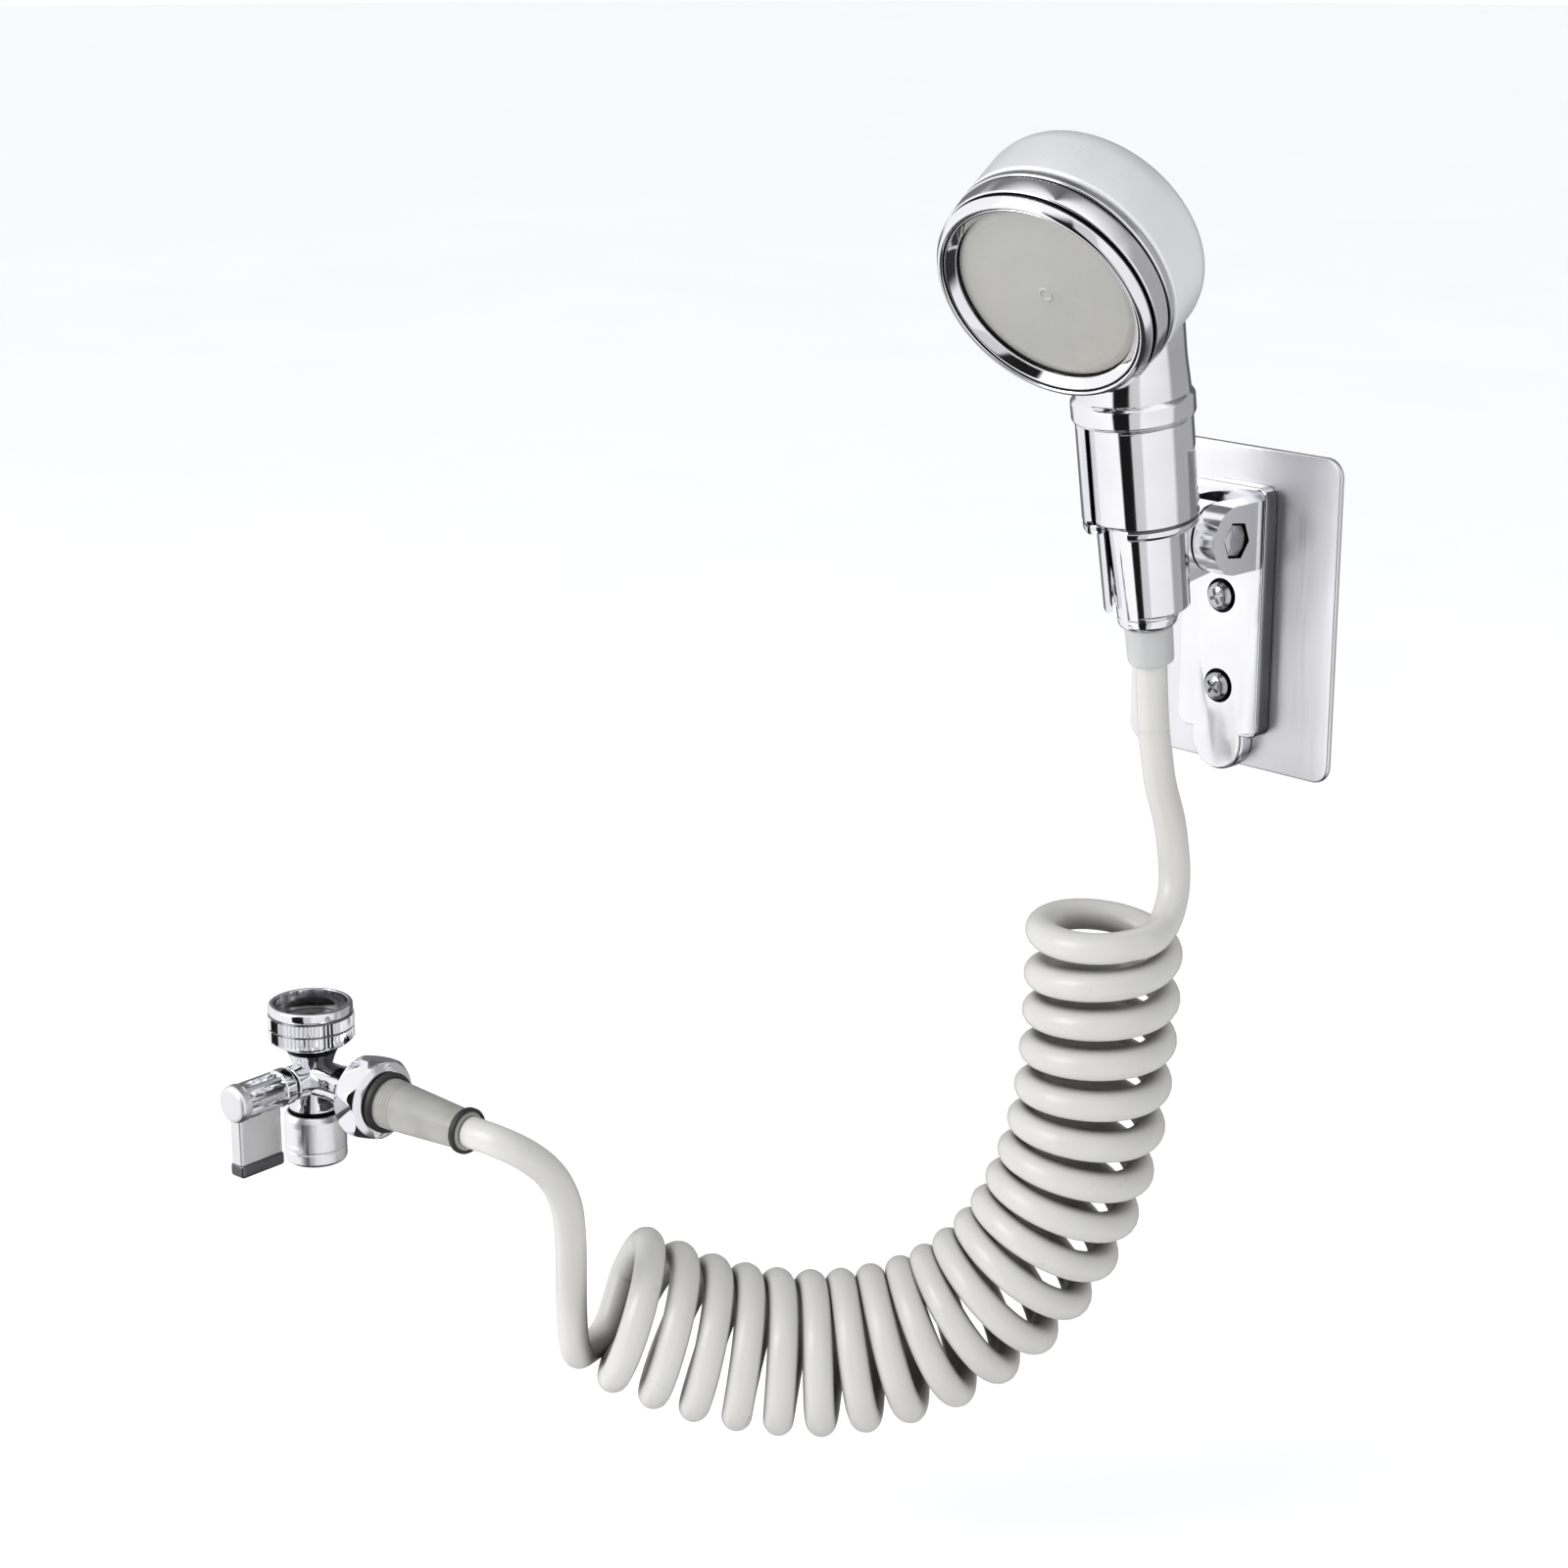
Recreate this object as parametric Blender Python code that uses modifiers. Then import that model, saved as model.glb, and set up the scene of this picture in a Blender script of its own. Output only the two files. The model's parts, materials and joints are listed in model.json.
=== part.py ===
"""Handheld sprayer in a wall bracket, with a coiled hose and a tap diverter valve.

World frame: metres, +Z up, wall face of the adhesive pad on Y = 0, the bracket
stands out towards -Y. Lengths below are written in millimetres and scaled by MM.
"""
import math

import bmesh
import bpy
from mathutils import Matrix, Vector

MM = 0.001

# Wall bracket
PLATE_W, PLATE_H, PLATE_T, PLATE_R = 74.0, 95.0, 1.5, 5.5
PAD_W, PAD_H, PAD_T = 71.0, 92.0, 0.9
BASE_HALF, BASE_TOP, BASE_LOW = 15.2, 37.0, -37.5
BASE_BACK, BASE_FRONT = -3.0, -7.6
LOBE_R, LOBE_Z = 9.4, -39.4
SCREW_Z = (3.6, -23.4)
PIVOT_Y, PIVOT_Z = -18.6, 23.4
EAR_IN, EAR_OUT, EAR_R = 5.6, 13.4, 10.0
JAW_TILT = math.radians(8.64)
# Distance from the pivot to the handle axis, and stations along that axis
AXIS_OUT = 24.8
JAW_TOP, JAW_LEDGE, JAW_FLOOR, JAW_LOW = 42.0, 10.5, 12.6, -14.0
JAW_R1, JAW_B1, JAW_R2, JAW_B2 = 16.5, 14.2, 12.7, 10.4
SLOT_HALF_TOP, SLOT_HALF_LOW = 7.2, 5.9
# Sprayer
TWIST = math.radians(7.4)
HEAD_OUT, HEAD_UP = 10.5, 97.4
HEAD_TURN = math.radians(112.1)
DRUM_R, RIM_R, HEAD_LEN, SEAM_Z = 33.5, 31.8, 31.8, 19.3
COLLAR_R, COLLAR_Z = 17.4, 42.3
# Hose
TUBE_R = 4.7
COIL_R_TOP, COIL_R_LOW = 18.5, 20.5
# Diverter valve
VALVE = (-169.2, -214.4, -136.8)
VALVE_TURN = math.radians(5.0)


def clear_scene():
    for block in list(bpy.data.objects):
        bpy.data.objects.remove(block, do_unlink=True)


clear_scene()
PARTS = bpy.data.collections.new("handheld_bath_sprayer")
CUTTERS = bpy.data.collections.new("cutters")
for coll in (PARTS, CUTTERS):
    bpy.context.scene.collection.children.link(coll)
CUTTERS.hide_render = True


def material(name, colour, metallic, rough):
    mat = bpy.data.materials.new(name)
    mat.use_nodes = True
    shader = mat.node_tree.nodes["Principled BSDF"]
    shader.inputs["Base Color"].default_value = (*colour, 1.0)
    shader.inputs["Metallic"].default_value = metallic
    shader.inputs["Roughness"].default_value = rough
    mat.diffuse_color = (*colour, 1.0)
    return mat


def chrome():
    return material("chrome", (0.86, 0.86, 0.88), 1.0, 0.08)


def satin():
    return material("satin_metal", (0.72, 0.72, 0.73), 1.0, 0.32)


def white_plastic():
    return material("white_plastic", (0.86, 0.86, 0.84), 0.0, 0.35)


def grey_plastic():
    return material("grey_plastic", (0.55, 0.56, 0.55), 0.0, 0.4)


def black_rubber():
    return material("black_rubber", (0.03, 0.03, 0.03), 0.0, 0.6)


def brass():
    return material("brass", (0.78, 0.62, 0.30), 1.0, 0.3)


def foam():
    return material("foam", (0.8, 0.8, 0.78), 0.0, 0.9)


def empty(name, loc, rot=(0.0, 0.0, 0.0), parent=None):
    node = bpy.data.objects.new(name, None)
    node.location = Vector(loc) * MM
    node.rotation_euler = rot
    node.parent = parent
    node.empty_display_size = 0.01
    PARTS.objects.link(node)
    return node


def new_object(name, bm, mat=None, parent=None, smooth=True, coll=None):
    """Wrap a bmesh, given in millimetres, as an object in metres."""
    bmesh.ops.scale(bm, vec=(MM, MM, MM), verts=bm.verts)
    bmesh.ops.recalc_face_normals(bm, faces=bm.faces)
    mesh = bpy.data.meshes.new(name)
    bm.to_mesh(mesh)
    bm.free()
    for poly in mesh.polygons:
        poly.use_smooth = smooth
    obj = bpy.data.objects.new(name, mesh)
    if mat:
        mesh.materials.append(mat)
    obj.parent = parent
    (coll or PARTS).objects.link(obj)
    return obj


def turned(name, profile, mat=None, parent=None, steps=36, coll=None, rot=None, loc=None):
    """Revolve (radius, z) points about Z; the list runs down the outer side first.

    A profile whose ends both lie on the axis makes a solid; any other is closed into a ring.
    """
    mesh = bpy.data.meshes.new(name)
    verts = [(r * MM, 0.0, z * MM) for r, z in profile]
    edges = [(i, i + 1) for i in range(len(verts) - 1)]
    if profile[0][0] > 0 or profile[-1][0] > 0:
        edges.append((len(verts) - 1, 0))
    mesh.from_pydata(verts, edges, [])
    if mat:
        mesh.materials.append(mat)
    obj = bpy.data.objects.new(name, mesh)
    screw = obj.modifiers.new("turn", "SCREW")
    screw.axis = "Z"
    screw.angle = math.tau
    screw.steps = screw.render_steps = steps
    screw.use_merge_vertices = True
    screw.merge_threshold = 0.00001
    screw.use_smooth_shade = True
    obj.parent = parent
    if loc:
        obj.location = Vector(loc) * MM
    if rot:
        obj.rotation_euler = rot
    (coll or PARTS).objects.link(obj)
    return obj


def box(name, low, high, mat=None, parent=None, bevel=0.0, coll=None):
    bm = bmesh.new()
    bmesh.ops.create_cube(bm, size=1.0)
    size = [h - l for l, h in zip(low, high)]
    bmesh.ops.scale(bm, vec=size, verts=bm.verts)
    mid = [(h + l) / 2 for l, h in zip(low, high)]
    bmesh.ops.translate(bm, vec=mid, verts=bm.verts)
    if bevel:
        bmesh.ops.bevel(bm, geom=bm.edges[:], offset=bevel, segments=3, profile=0.5, affect="EDGES")
    return new_object(name, bm, mat, parent, smooth=False, coll=coll)


def rod(name, radius, start, end, mat=None, parent=None, segments=24, coll=None, turn=0.0):
    """Solid round or prismatic bar between two points in millimetres."""
    start, end = Vector(start), Vector(end)
    bm = bmesh.new()
    bmesh.ops.create_cone(bm, cap_ends=True, segments=segments, radius1=radius,
                          radius2=radius, depth=(end - start).length)
    spin = (end - start).to_track_quat("Z", "Y").to_matrix().to_4x4()
    place = Matrix.Translation((start + end) / 2) @ spin @ Matrix.Rotation(turn, 4, "Z")
    bmesh.ops.transform(bm, matrix=place, verts=bm.verts)
    return new_object(name, bm, mat, parent, smooth=segments > 12, coll=coll)


def slab(name, outline, y_back, y_front, mat=None, parent=None, coll=None, bevel=0.0):
    """Extrude a closed XZ outline along Y."""
    bm = bmesh.new()
    ring = [bm.verts.new((x, y_back, z)) for x, z in outline]
    face = bm.faces.new(ring)
    grown = bmesh.ops.extrude_face_region(bm, geom=[face])
    moved = [v for v in grown["geom"] if isinstance(v, bmesh.types.BMVert)]
    bmesh.ops.translate(bm, vec=(0, y_front - y_back, 0), verts=moved)
    if bevel:
        rim = [e for e in bm.edges if all(v in moved for v in e.verts)]
        bmesh.ops.bevel(bm, geom=rim, offset=bevel, segments=2, profile=0.5, affect="EDGES")
    return new_object(name, bm, mat, parent, smooth=False, coll=coll)


def rounded_rect(half_w, half_h, radius, per_corner=8):
    points = []
    for cx, cz, a0 in ((1, 1, 0), (-1, 1, 90), (-1, -1, 180), (1, -1, 270)):
        for k in range(per_corner + 1):
            a = math.radians(a0 + 90 * k / per_corner)
            points.append((cx * (half_w - radius) + radius * math.cos(a),
                           cz * (half_h - radius) + radius * math.sin(a)))
    return points


def combine(obj, tools, operation):
    for tool in tools:
        mod = obj.modifiers.new(operation.lower(), "BOOLEAN")
        mod.operation = operation
        mod.solver = "EXACT"
        mod.object = tool
        tool.hide_render = True
        tool.display_type = "WIRE"
    return obj


def cutter(maker, name, *args, **kw):
    return maker("cut_" + name, *args, coll=CUTTERS, **kw)


def tube_along(name, points, radius, mat, resolution=3, radii=None):
    """Solid round tube through world points in millimetres, made from a bevelled curve."""
    curve = bpy.data.curves.new(name, "CURVE")
    curve.dimensions = "3D"
    curve.bevel_depth = radius * MM
    curve.bevel_resolution = resolution
    curve.use_fill_caps = True
    spline = curve.splines.new("POLY")
    spline.points.add(len(points) - 1)
    for k, (slot, p) in enumerate(zip(spline.points, points)):
        slot.co = (*(Vector(p) * MM), 1.0)
        slot.radius = radii[k] / radius if radii else 1.0
    source = bpy.data.objects.new(name + "_path", curve)
    PARTS.objects.link(source)
    graph = bpy.context.evaluated_depsgraph_get()
    mesh = bpy.data.meshes.new_from_object(source.evaluated_get(graph))
    bpy.data.objects.remove(source, do_unlink=True)
    bm = bmesh.new()
    bm.from_mesh(mesh)
    bmesh.ops.remove_doubles(bm, verts=bm.verts, dist=0.000001)
    bmesh.ops.scale(bm, vec=(1 / MM, 1 / MM, 1 / MM), verts=bm.verts)
    return new_object(name, bm, mat)


def smooth_path(knots, count):
    """Evenly spaced points on a Catmull-Rom curve through the knots."""
    pts = [Vector(k) for k in knots]
    pts = [2 * pts[0] - pts[1]] + pts + [2 * pts[-1] - pts[-2]]
    fine = []
    for i in range(1, len(pts) - 2):
        a, b, c, d = pts[i - 1:i + 3]
        for k in range(24):
            t = k / 24
            fine.append(0.5 * (2 * b + (c - a) * t + (2 * a - 5 * b + 4 * c - d) * t * t
                               + (3 * b - a - 3 * c + d) * t ** 3))
    fine.append(pts[-2])
    run = [0.0]
    for p, q in zip(fine, fine[1:]):
        run.append(run[-1] + (q - p).length)
    out, j = [], 0
    for k in range(count):
        want = run[-1] * k / (count - 1)
        while j < len(run) - 2 and run[j + 1] < want:
            j += 1
        t = (want - run[j]) / (run[j + 1] - run[j])
        out.append(fine[j].lerp(fine[j + 1], t))
    return out


# ---------------------------------------------------------------- wall bracket

def wall_plate_parts():
    pad = rounded_rect(PAD_W / 2, PAD_H / 2, 4.5)
    slab("adhesive_pad", pad, 0.0, -PAD_T, foam())
    outline = rounded_rect(PLATE_W / 2, PLATE_H / 2, PLATE_R)
    plate = slab("wall_plate", outline, -PAD_T - 0.3, -PAD_T - 0.3 - PLATE_T, satin(), bevel=0.4)
    holes = [cutter(rod, f"plate_hole_{i}", 2.3, (0, 2, z), (0, -5, z), segments=24)
             for i, z in enumerate(SCREW_Z)]
    combine(plate, holes, "DIFFERENCE")


def base_outline():
    pts = [(BASE_HALF, BASE_LOW + 4), (BASE_HALF, BASE_TOP - 4)]
    for k in range(1, 7):
        a = math.radians(15 * k)
        pts.append((BASE_HALF - 4 + 4 * math.cos(a), BASE_TOP - 4 + 4 * math.sin(a)))
    for k in range(7):
        a = math.radians(90 + 15 * k)
        pts.append((-BASE_HALF + 4 + 4 * math.cos(a), BASE_TOP - 4 + 4 * math.sin(a)))
    pts.append((-BASE_HALF, BASE_LOW + 4))
    for k in range(1, 6):
        a = math.radians(180 + 18 * k)
        pts.append((-BASE_HALF + 4 + 4 * math.cos(a), BASE_LOW + 4 + 4 * math.sin(a)))
    for k in range(13):
        a = math.radians(180 + 15 * k)
        pts.append((LOBE_R * math.cos(a), LOBE_Z + LOBE_R * math.sin(a)))
    for k in range(5):
        a = math.radians(270 + 18 * k)
        pts.append((BASE_HALF - 4 + 4 * math.cos(a), BASE_LOW + 4 + 4 * math.sin(a)))
    return pts


def holder_base_part():
    base = slab("holder_base", base_outline(), BASE_BACK, BASE_FRONT, chrome(), bevel=0.8)
    grown = []
    for side in (1, -1):
        x0, x1 = side * EAR_IN, side * EAR_OUT
        grown.append(cutter(rod, f"ear_round_{side}", EAR_R, (x0, PIVOT_Y, PIVOT_Z),
                            (x1, PIVOT_Y, PIVOT_Z), segments=64))
        grown.append(cutter(box, f"ear_web_{side}",
                            (min(x0, x1), PIVOT_Y, PIVOT_Z - EAR_R),
                            (max(x0, x1), BASE_FRONT + 1.5, PIVOT_Z + EAR_R)))
    combine(base, grown, "UNION")
    cuts = [cutter(rod, "bolt_bore", 3.2, (-20, PIVOT_Y, PIVOT_Z), (20, PIVOT_Y, PIVOT_Z)),
            cutter(rod, "bolt_head_seat", 6.6, (10.0, PIVOT_Y, PIVOT_Z), (20, PIVOT_Y, PIVOT_Z)),
            cutter(rod, "nut_seat", 5.7, (-10.6, PIVOT_Y, PIVOT_Z), (-20, PIVOT_Y, PIVOT_Z),
                   segments=6)]
    cuts += [cutter(rod, f"base_hole_{i}", 2.3, (0, 0, z), (0, -12, z), segments=24)
             for i, z in enumerate(SCREW_Z)]
    combine(base, cuts, "DIFFERENCE")


def base_screw_part(name, z):
    """Pan-head screw standing on the base, with its cross recess."""
    profile = [(0, 2.5), (1.6, 2.4), (3.1, 1.9), (3.9, 1.1), (4.1, 0.3), (4.1, 0.0),
               (2.0, 0.0), (2.0, -5.4), (1.2, -6.0), (0, -6.0)]
    screw = turned(name, profile, chrome(), steps=32, rot=(math.radians(90), 0, 0),
                   loc=(0, BASE_FRONT - 0.25, z))
    y0, y1 = BASE_FRONT - 1.3, BASE_FRONT - 4
    slots = [cutter(box, name + "_a", (-2.2, y1, z - 0.45), (2.2, y0, z + 0.45)),
             cutter(box, name + "_b", (-0.45, y1, z - 2.2), (0.45, y0, z + 2.2))]
    combine(screw, slots, "DIFFERENCE")


def pivot_parts():
    mat = chrome()
    bolt = rod("pivot_bolt", 2.9, (-12.6, PIVOT_Y, PIVOT_Z), (11.0, PIVOT_Y, PIVOT_Z), mat)
    head = cutter(rod, "bolt_head", 6.3, (10.3, PIVOT_Y, PIVOT_Z), (13.6, PIVOT_Y, PIVOT_Z))
    combine(bolt, [head], "UNION")
    socket = cutter(rod, "hex_socket", 4.6, (11.2, PIVOT_Y, PIVOT_Z), (16, PIVOT_Y, PIVOT_Z),
                    segments=6)
    combine(bolt, [socket], "DIFFERENCE")
    nut = rod("pivot_nut", 5.4, (-13.6, PIVOT_Y, PIVOT_Z), (-10.9, PIVOT_Y, PIVOT_Z), chrome(),
              segments=6)
    bore = cutter(rod, "nut_bore", 3.2, (-16, PIVOT_Y, PIVOT_Z), (-8, PIVOT_Y, PIVOT_Z))
    combine(nut, [bore], "DIFFERENCE")


# ------------------------------------------------------------------- holder jaw

def holder_jaw_part(pivot):
    """Stepped C-shaped cup on a tongue; the open side faces away from the wall."""
    profile = [(JAW_R1 - 0.6, JAW_TOP), (JAW_R1, JAW_TOP - 0.6), (JAW_R1, JAW_LEDGE + 0.8),
               (JAW_R1 - 0.8, JAW_LEDGE), (JAW_R2, JAW_LEDGE - 0.4), (JAW_R2 - 0.4, JAW_LOW + 0.6),
               (JAW_R2 - 1.0, JAW_LOW), (JAW_B2 - 0.4, JAW_LOW), (JAW_B2, JAW_FLOOR),
               (JAW_B1, JAW_FLOOR), (JAW_B1, JAW_TOP)]
    centre = (0, -AXIS_OUT, 0)
    jaw = turned("holder_jaw", profile, chrome(), pivot, steps=48)
    jaw.location = (0, -AXIS_OUT * MM, 0)
    lug = cutter(rod, "tongue_round", EAR_R, (-5.2, 0, 0), (5.2, 0, 0), segments=64, parent=pivot)
    web = cutter(box, "tongue_web", (-5.2, -13.4, -EAR_R), (5.2, 0, EAR_R), parent=pivot)
    combine(jaw, [lug, web], "UNION")
    bore = cutter(rod, "tongue_bore", 3.2, (-9, 0, 0), (9, 0, 0), parent=pivot)
    y0, y1 = centre[1] - 20, centre[1] - 4
    top = cutter(box, "slot_top", (-SLOT_HALF_TOP, y0, JAW_FLOOR - 2.6), (SLOT_HALF_TOP, y1, 50),
                 parent=pivot)
    low = cutter(box, "slot_low", (-SLOT_HALF_LOW, y0, -20), (SLOT_HALF_LOW, y1, JAW_FLOOR - 1),
                 parent=pivot)
    combine(jaw, [bore, top, low], "DIFFERENCE")


# ---------------------------------------------------------------------- sprayer

def rear_shell_part(head):
    """Drum, neck and collar of the handset in one piece, hollow from the front."""
    drum = [(0, -8.6), (9, -8.3), (17, -7.2), (24, -5.2), (29.5, -2.2), (32.4, 0.8),
            (DRUM_R, 4.0), (DRUM_R - 0.1, SEAM_Z - 0.6), (DRUM_R - 0.6, SEAM_Z),
            (29.6, SEAM_Z), (29.6, 25.5), (0, 25.5)]
    drum = [(r, z) for r, z in reversed(drum)]
    shell = turned("rear_shell", drum, chrome(), head, steps=48)
    return shell


def neck_solid(sprayer):
    """Round elbow lofted from the collar up into the drum."""
    stations = [(0.0, 48.2, 16.6, 0), (0.4, 53.0, 16.0, -3), (1.2, 59.0, 15.2, -3),
                (1.5, 66.0, 15.0, 2), (0.9, 73.0, 15.2, 8), (-1.6, 80.5, 15.2, 15),
                (-5.0, 87.5, 14.2, 24), (-9.0, 93.5, 12.0, 36), (-13.0, 97.0, 9.0, 48)]
    bm = bmesh.new()
    rings = []
    for y, z, radius, lean in stations:
        tilt = Matrix.Rotation(math.radians(lean), 3, "X")
        ring = []
        for k in range(40):
            a = math.tau * k / 40
            ring.append(bm.verts.new(Vector((0, y, z))
                                     + tilt @ Vector((math.cos(a), math.sin(a), 0)) * radius))
        rings.append(ring)
    for low, high in zip(rings, rings[1:]):
        for k in range(40):
            n = (k + 1) % 40
            bm.faces.new((low[k], low[n], high[n], high[k]))
    bm.faces.new(rings[0][::-1])
    bm.faces.new(rings[-1])
    return new_object("cut_neck", bm, parent=sprayer, coll=CUTTERS)


def handset_parts(sprayer, head):
    shell = rear_shell_part(head)
    collar = cutter(turned, "collar", [(0, 49.4), (16.2, 49.4), (16.9, 48.6), (COLLAR_R, 47.8),
                                       (COLLAR_R, COLLAR_Z + 0.6), (COLLAR_R - 0.6, COLLAR_Z),
                                       (0, COLLAR_Z)], parent=sprayer)
    combine(shell, [neck_solid(sprayer), collar], "UNION")
    cavity = cutter(turned, "head_cavity",
                    [(0, 30), (27.6, 30), (27.6, 21.2), (25.0, 21.2), (25.0, 4.0), (22.0, -0.5),
                     (14.0, -4.2), (0, -5.6)], parent=head)
    socket = cutter(turned, "neck_socket", [(0, 50.6), (11.4, 50.6), (11.4, 40), (0, 40)],
                    parent=sprayer)
    bore = cutter(rod, "neck_bore", 5.0, (0, 0, 48), (0, -6.0, 92), parent=sprayer)
    combine(shell, [cavity, socket, bore], "DIFFERENCE")

    turned("bezel_ring",
           [(30.4, 33.0), (31.3, 32.7), (RIM_R, HEAD_LEN), (32.3, 29.5), (33.2, SEAM_Z + 0.9),
            (32.7, SEAM_Z + 0.4), (30.0, SEAM_Z + 0.4), (30.0, 29.6), (26.9, 29.6), (26.9, 30.0),
            (27.6, 31.2), (28.6, 31.5), (28.9, 32.6), (29.5, 32.9)], chrome(), head, steps=48)
    flow = turned("flow_disc", [(0, 23.5), (27.2, 23.5), (27.2, 21.5), (0, 21.5)],
                  white_plastic(), head, steps=32)
    flow_holes = ring_holes("flow_holes", head, ((9.0, 5), (19.0, 10)), 2.0, 20.5, 24.5, 8)
    combine(flow, [flow_holes], "DIFFERENCE")
    turned("face_seal", [(29.3, 27.2), (29.3, 25.8), (26.2, 25.8), (26.2, 27.2)],
           black_rubber(), head, steps=32)
    plate = turned("spray_plate", [(0, 29.3), (29.6, 29.3), (29.6, 27.6), (0, 27.6)],
                   satin(), head, steps=32)
    jets = ring_holes("jet_holes", head, ((8.0, 6), (19.0, 14)),
                      1.0, 27.0, 30.0, 6)
    combine(plate, [jets], "DIFFERENCE")

    turned("handle_sleeve",
           [(5.6, 49.9), (10.6, 49.9), (11.0, 49.5), (11.0, 42.0), (13.2, 42.0), (13.7, 41.5),
            (13.7, 13.6), (13.1, 13.0), (8.0, 13.0), (8.0, 2.6), (7.6, 2.2), (5.0, 2.2),
            (5.0, 49.3)], chrome(), sprayer)


def ring_holes(name, parent, rings, radius, low, high, segments):
    """One cutter made of round bars on concentric circles."""
    bm = bmesh.new()
    for ring_r, count in rings:
        for k in range(count):
            a = math.tau * k / count
            place = Matrix.Translation((ring_r * math.cos(a), ring_r * math.sin(a),
                                        (low + high) / 2))
            bmesh.ops.create_cone(bm, cap_ends=True, segments=segments, radius1=radius,
                                  radius2=radius, depth=high - low, matrix=place)
    return new_object("cut_" + name, bm, parent=parent, coll=CUTTERS)


# --------------------------------------------------------------- hose and ends

def hose_end_parts(handle):
    turned("hose_washer", [(7.7, 1.8), (7.7, 0.2), (4.6, 0.2), (4.6, 1.8)], black_rubber(),
           handle, steps=32)
    turned("hose_nut",
           [(8.4, 11.6), (9.6, 11.6), (10.0, 11.1), (10.0, 9.6), (8.6, -18.0), (8.2, -18.8),
            (5.5, -18.8), (5.5, -2.6), (8.4, -2.6)], chrome(), handle)
    turned("hose_fitting",
           [(7.8, -0.1), (7.8, -2.0), (5.1, -2.3), (5.1, -5.2), (3.1, -5.5), (3.1, -30.2),
            (2.7, -30.6), (2.1, -30.6), (2.1, -0.1)], brass(), handle, steps=32)
    turned("hose_ferrule",
           [(5.15, -6.0), (5.15, -19.2), (6.4, -19.2), (6.8, -19.6), (6.6, -30.2), (6.1, -31.0),
            (3.4, -31.0), (3.4, -6.0)], white_plastic(), handle, steps=32)


# The hose is split where it passes the circle that the jaw's tilt swings it on
SEAM_R = 57.8
LEAD = [(0.0, -38.4, -11.35), (0.0, -37.9, -18.0), (0.7, -37.9, -25.5), (1.4, -38.0, -31.0),
        (1.8, -38.0, -34.5)]
DROP = [(1.0, -38.0, -28.0), (1.4, -38.0, -31.0), (2.2, -37.4, -38.0), (3.3, -36.6, -46.9),
        (5.3, -34.5, -57.8), (6.0, -33.1, -67.2), (5.9, -33.0, -76.0), (5.4, -34.0, -86.0)]
COIL = [(-7.2, -47.3, -87.2), (-7.2, -47.5, -102.0), (-7.4, -47.6, -114.1),
        (-7.8, -48.1, -126.5), (-8.5, -48.9, -139.2), (-9.7, -50.2, -151.7),
        (-11.6, -52.3, -163.8), (-14.2, -55.2, -175.3), (-17.7, -59.0, -186.3),
        (-22.1, -63.9, -196.6), (-27.6, -70.0, -205.7), (-33.9, -76.9, -213.2),
        (-40.9, -84.6, -218.9), (-48.5, -92.9, -222.6), (-56.1, -101.3, -224.7),
        (-63.7, -109.6, -225.4), (-71.3, -118.0, -224.7), (-78.9, -126.4, -222.9),
        (-86.4, -134.6, -219.8), (-93.8, -142.8, -215.5), (-101.9, -151.6, -209.8)]
TAIL = [(-102.46, -208.56, -136.8), (-96.5, -208.0, -136.8), (-90.7, -206.7, -137.3),
        (-87.1, -200.9, -141.5), (-86.1, -193.3, -149.1), (-88.6, -185.9, -160.6),
        (-93.9, -179.9, -173.9), (-100.0, -174.6, -187.5), (-105.8, -169.9, -201.0),
        (-109.4, -166.8, -214.3), (-110.2, -165.2, -219.6)]


def hose_parts():
    mat = white_plastic
    lead = tube_along("hose_lead", smooth_path(LEAD, 8), TUBE_R, mat(), resolution=3)
    drop = tube_along("hose_drop", smooth_path(DROP, 12), TUBE_R, mat(), resolution=3)
    for obj, radius, operation in ((lead, SEAM_R - 0.15, "INTERSECT"),
                                   (drop, SEAM_R + 0.15, "DIFFERENCE")):
        swing = cutter(rod, obj.name + "_swing", radius, (-20, PIVOT_Y, PIVOT_Z),
                       (20, PIVOT_Y, PIVOT_Z), segments=128)
        combine(obj, [swing], operation)
    growth = [min(1.0, max(0.0, (k - 6) / 17)) for k in range(34)]
    radii = [COIL_R_TOP + TUBE_R + (COIL_R_LOW - COIL_R_TOP) * share for share in growth]
    tube_along("hose_coil", smooth_path(COIL, 34), radii[0], mat(), resolution=6, radii=radii)
    tube_along("hose_tail", smooth_path(TAIL, 28), TUBE_R, mat(), resolution=3)


# -------------------------------------------------------------- diverter valve

ALONG_X = (0, math.radians(90), 0)
ALONG_MINUS_Y = (math.radians(90), 0, 0)


def fluted(name, radius, depth, teeth, low, high, mat, parent):
    """Round bar with fine grip teeth around it."""
    bm = bmesh.new()
    bmesh.ops.create_cone(bm, cap_ends=True, segments=teeth * 2, radius1=radius, radius2=radius,
                          depth=high - low, matrix=Matrix.Translation((0, 0, (low + high) / 2)))
    for vert in bm.verts:
        k = round(math.atan2(vert.co.y, vert.co.x) / math.tau * teeth * 2)
        if k % 2:
            scale = (radius - depth) / radius
            vert.co.x *= scale
            vert.co.y *= scale
    return new_object(name, bm, mat, parent, smooth=False)


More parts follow.
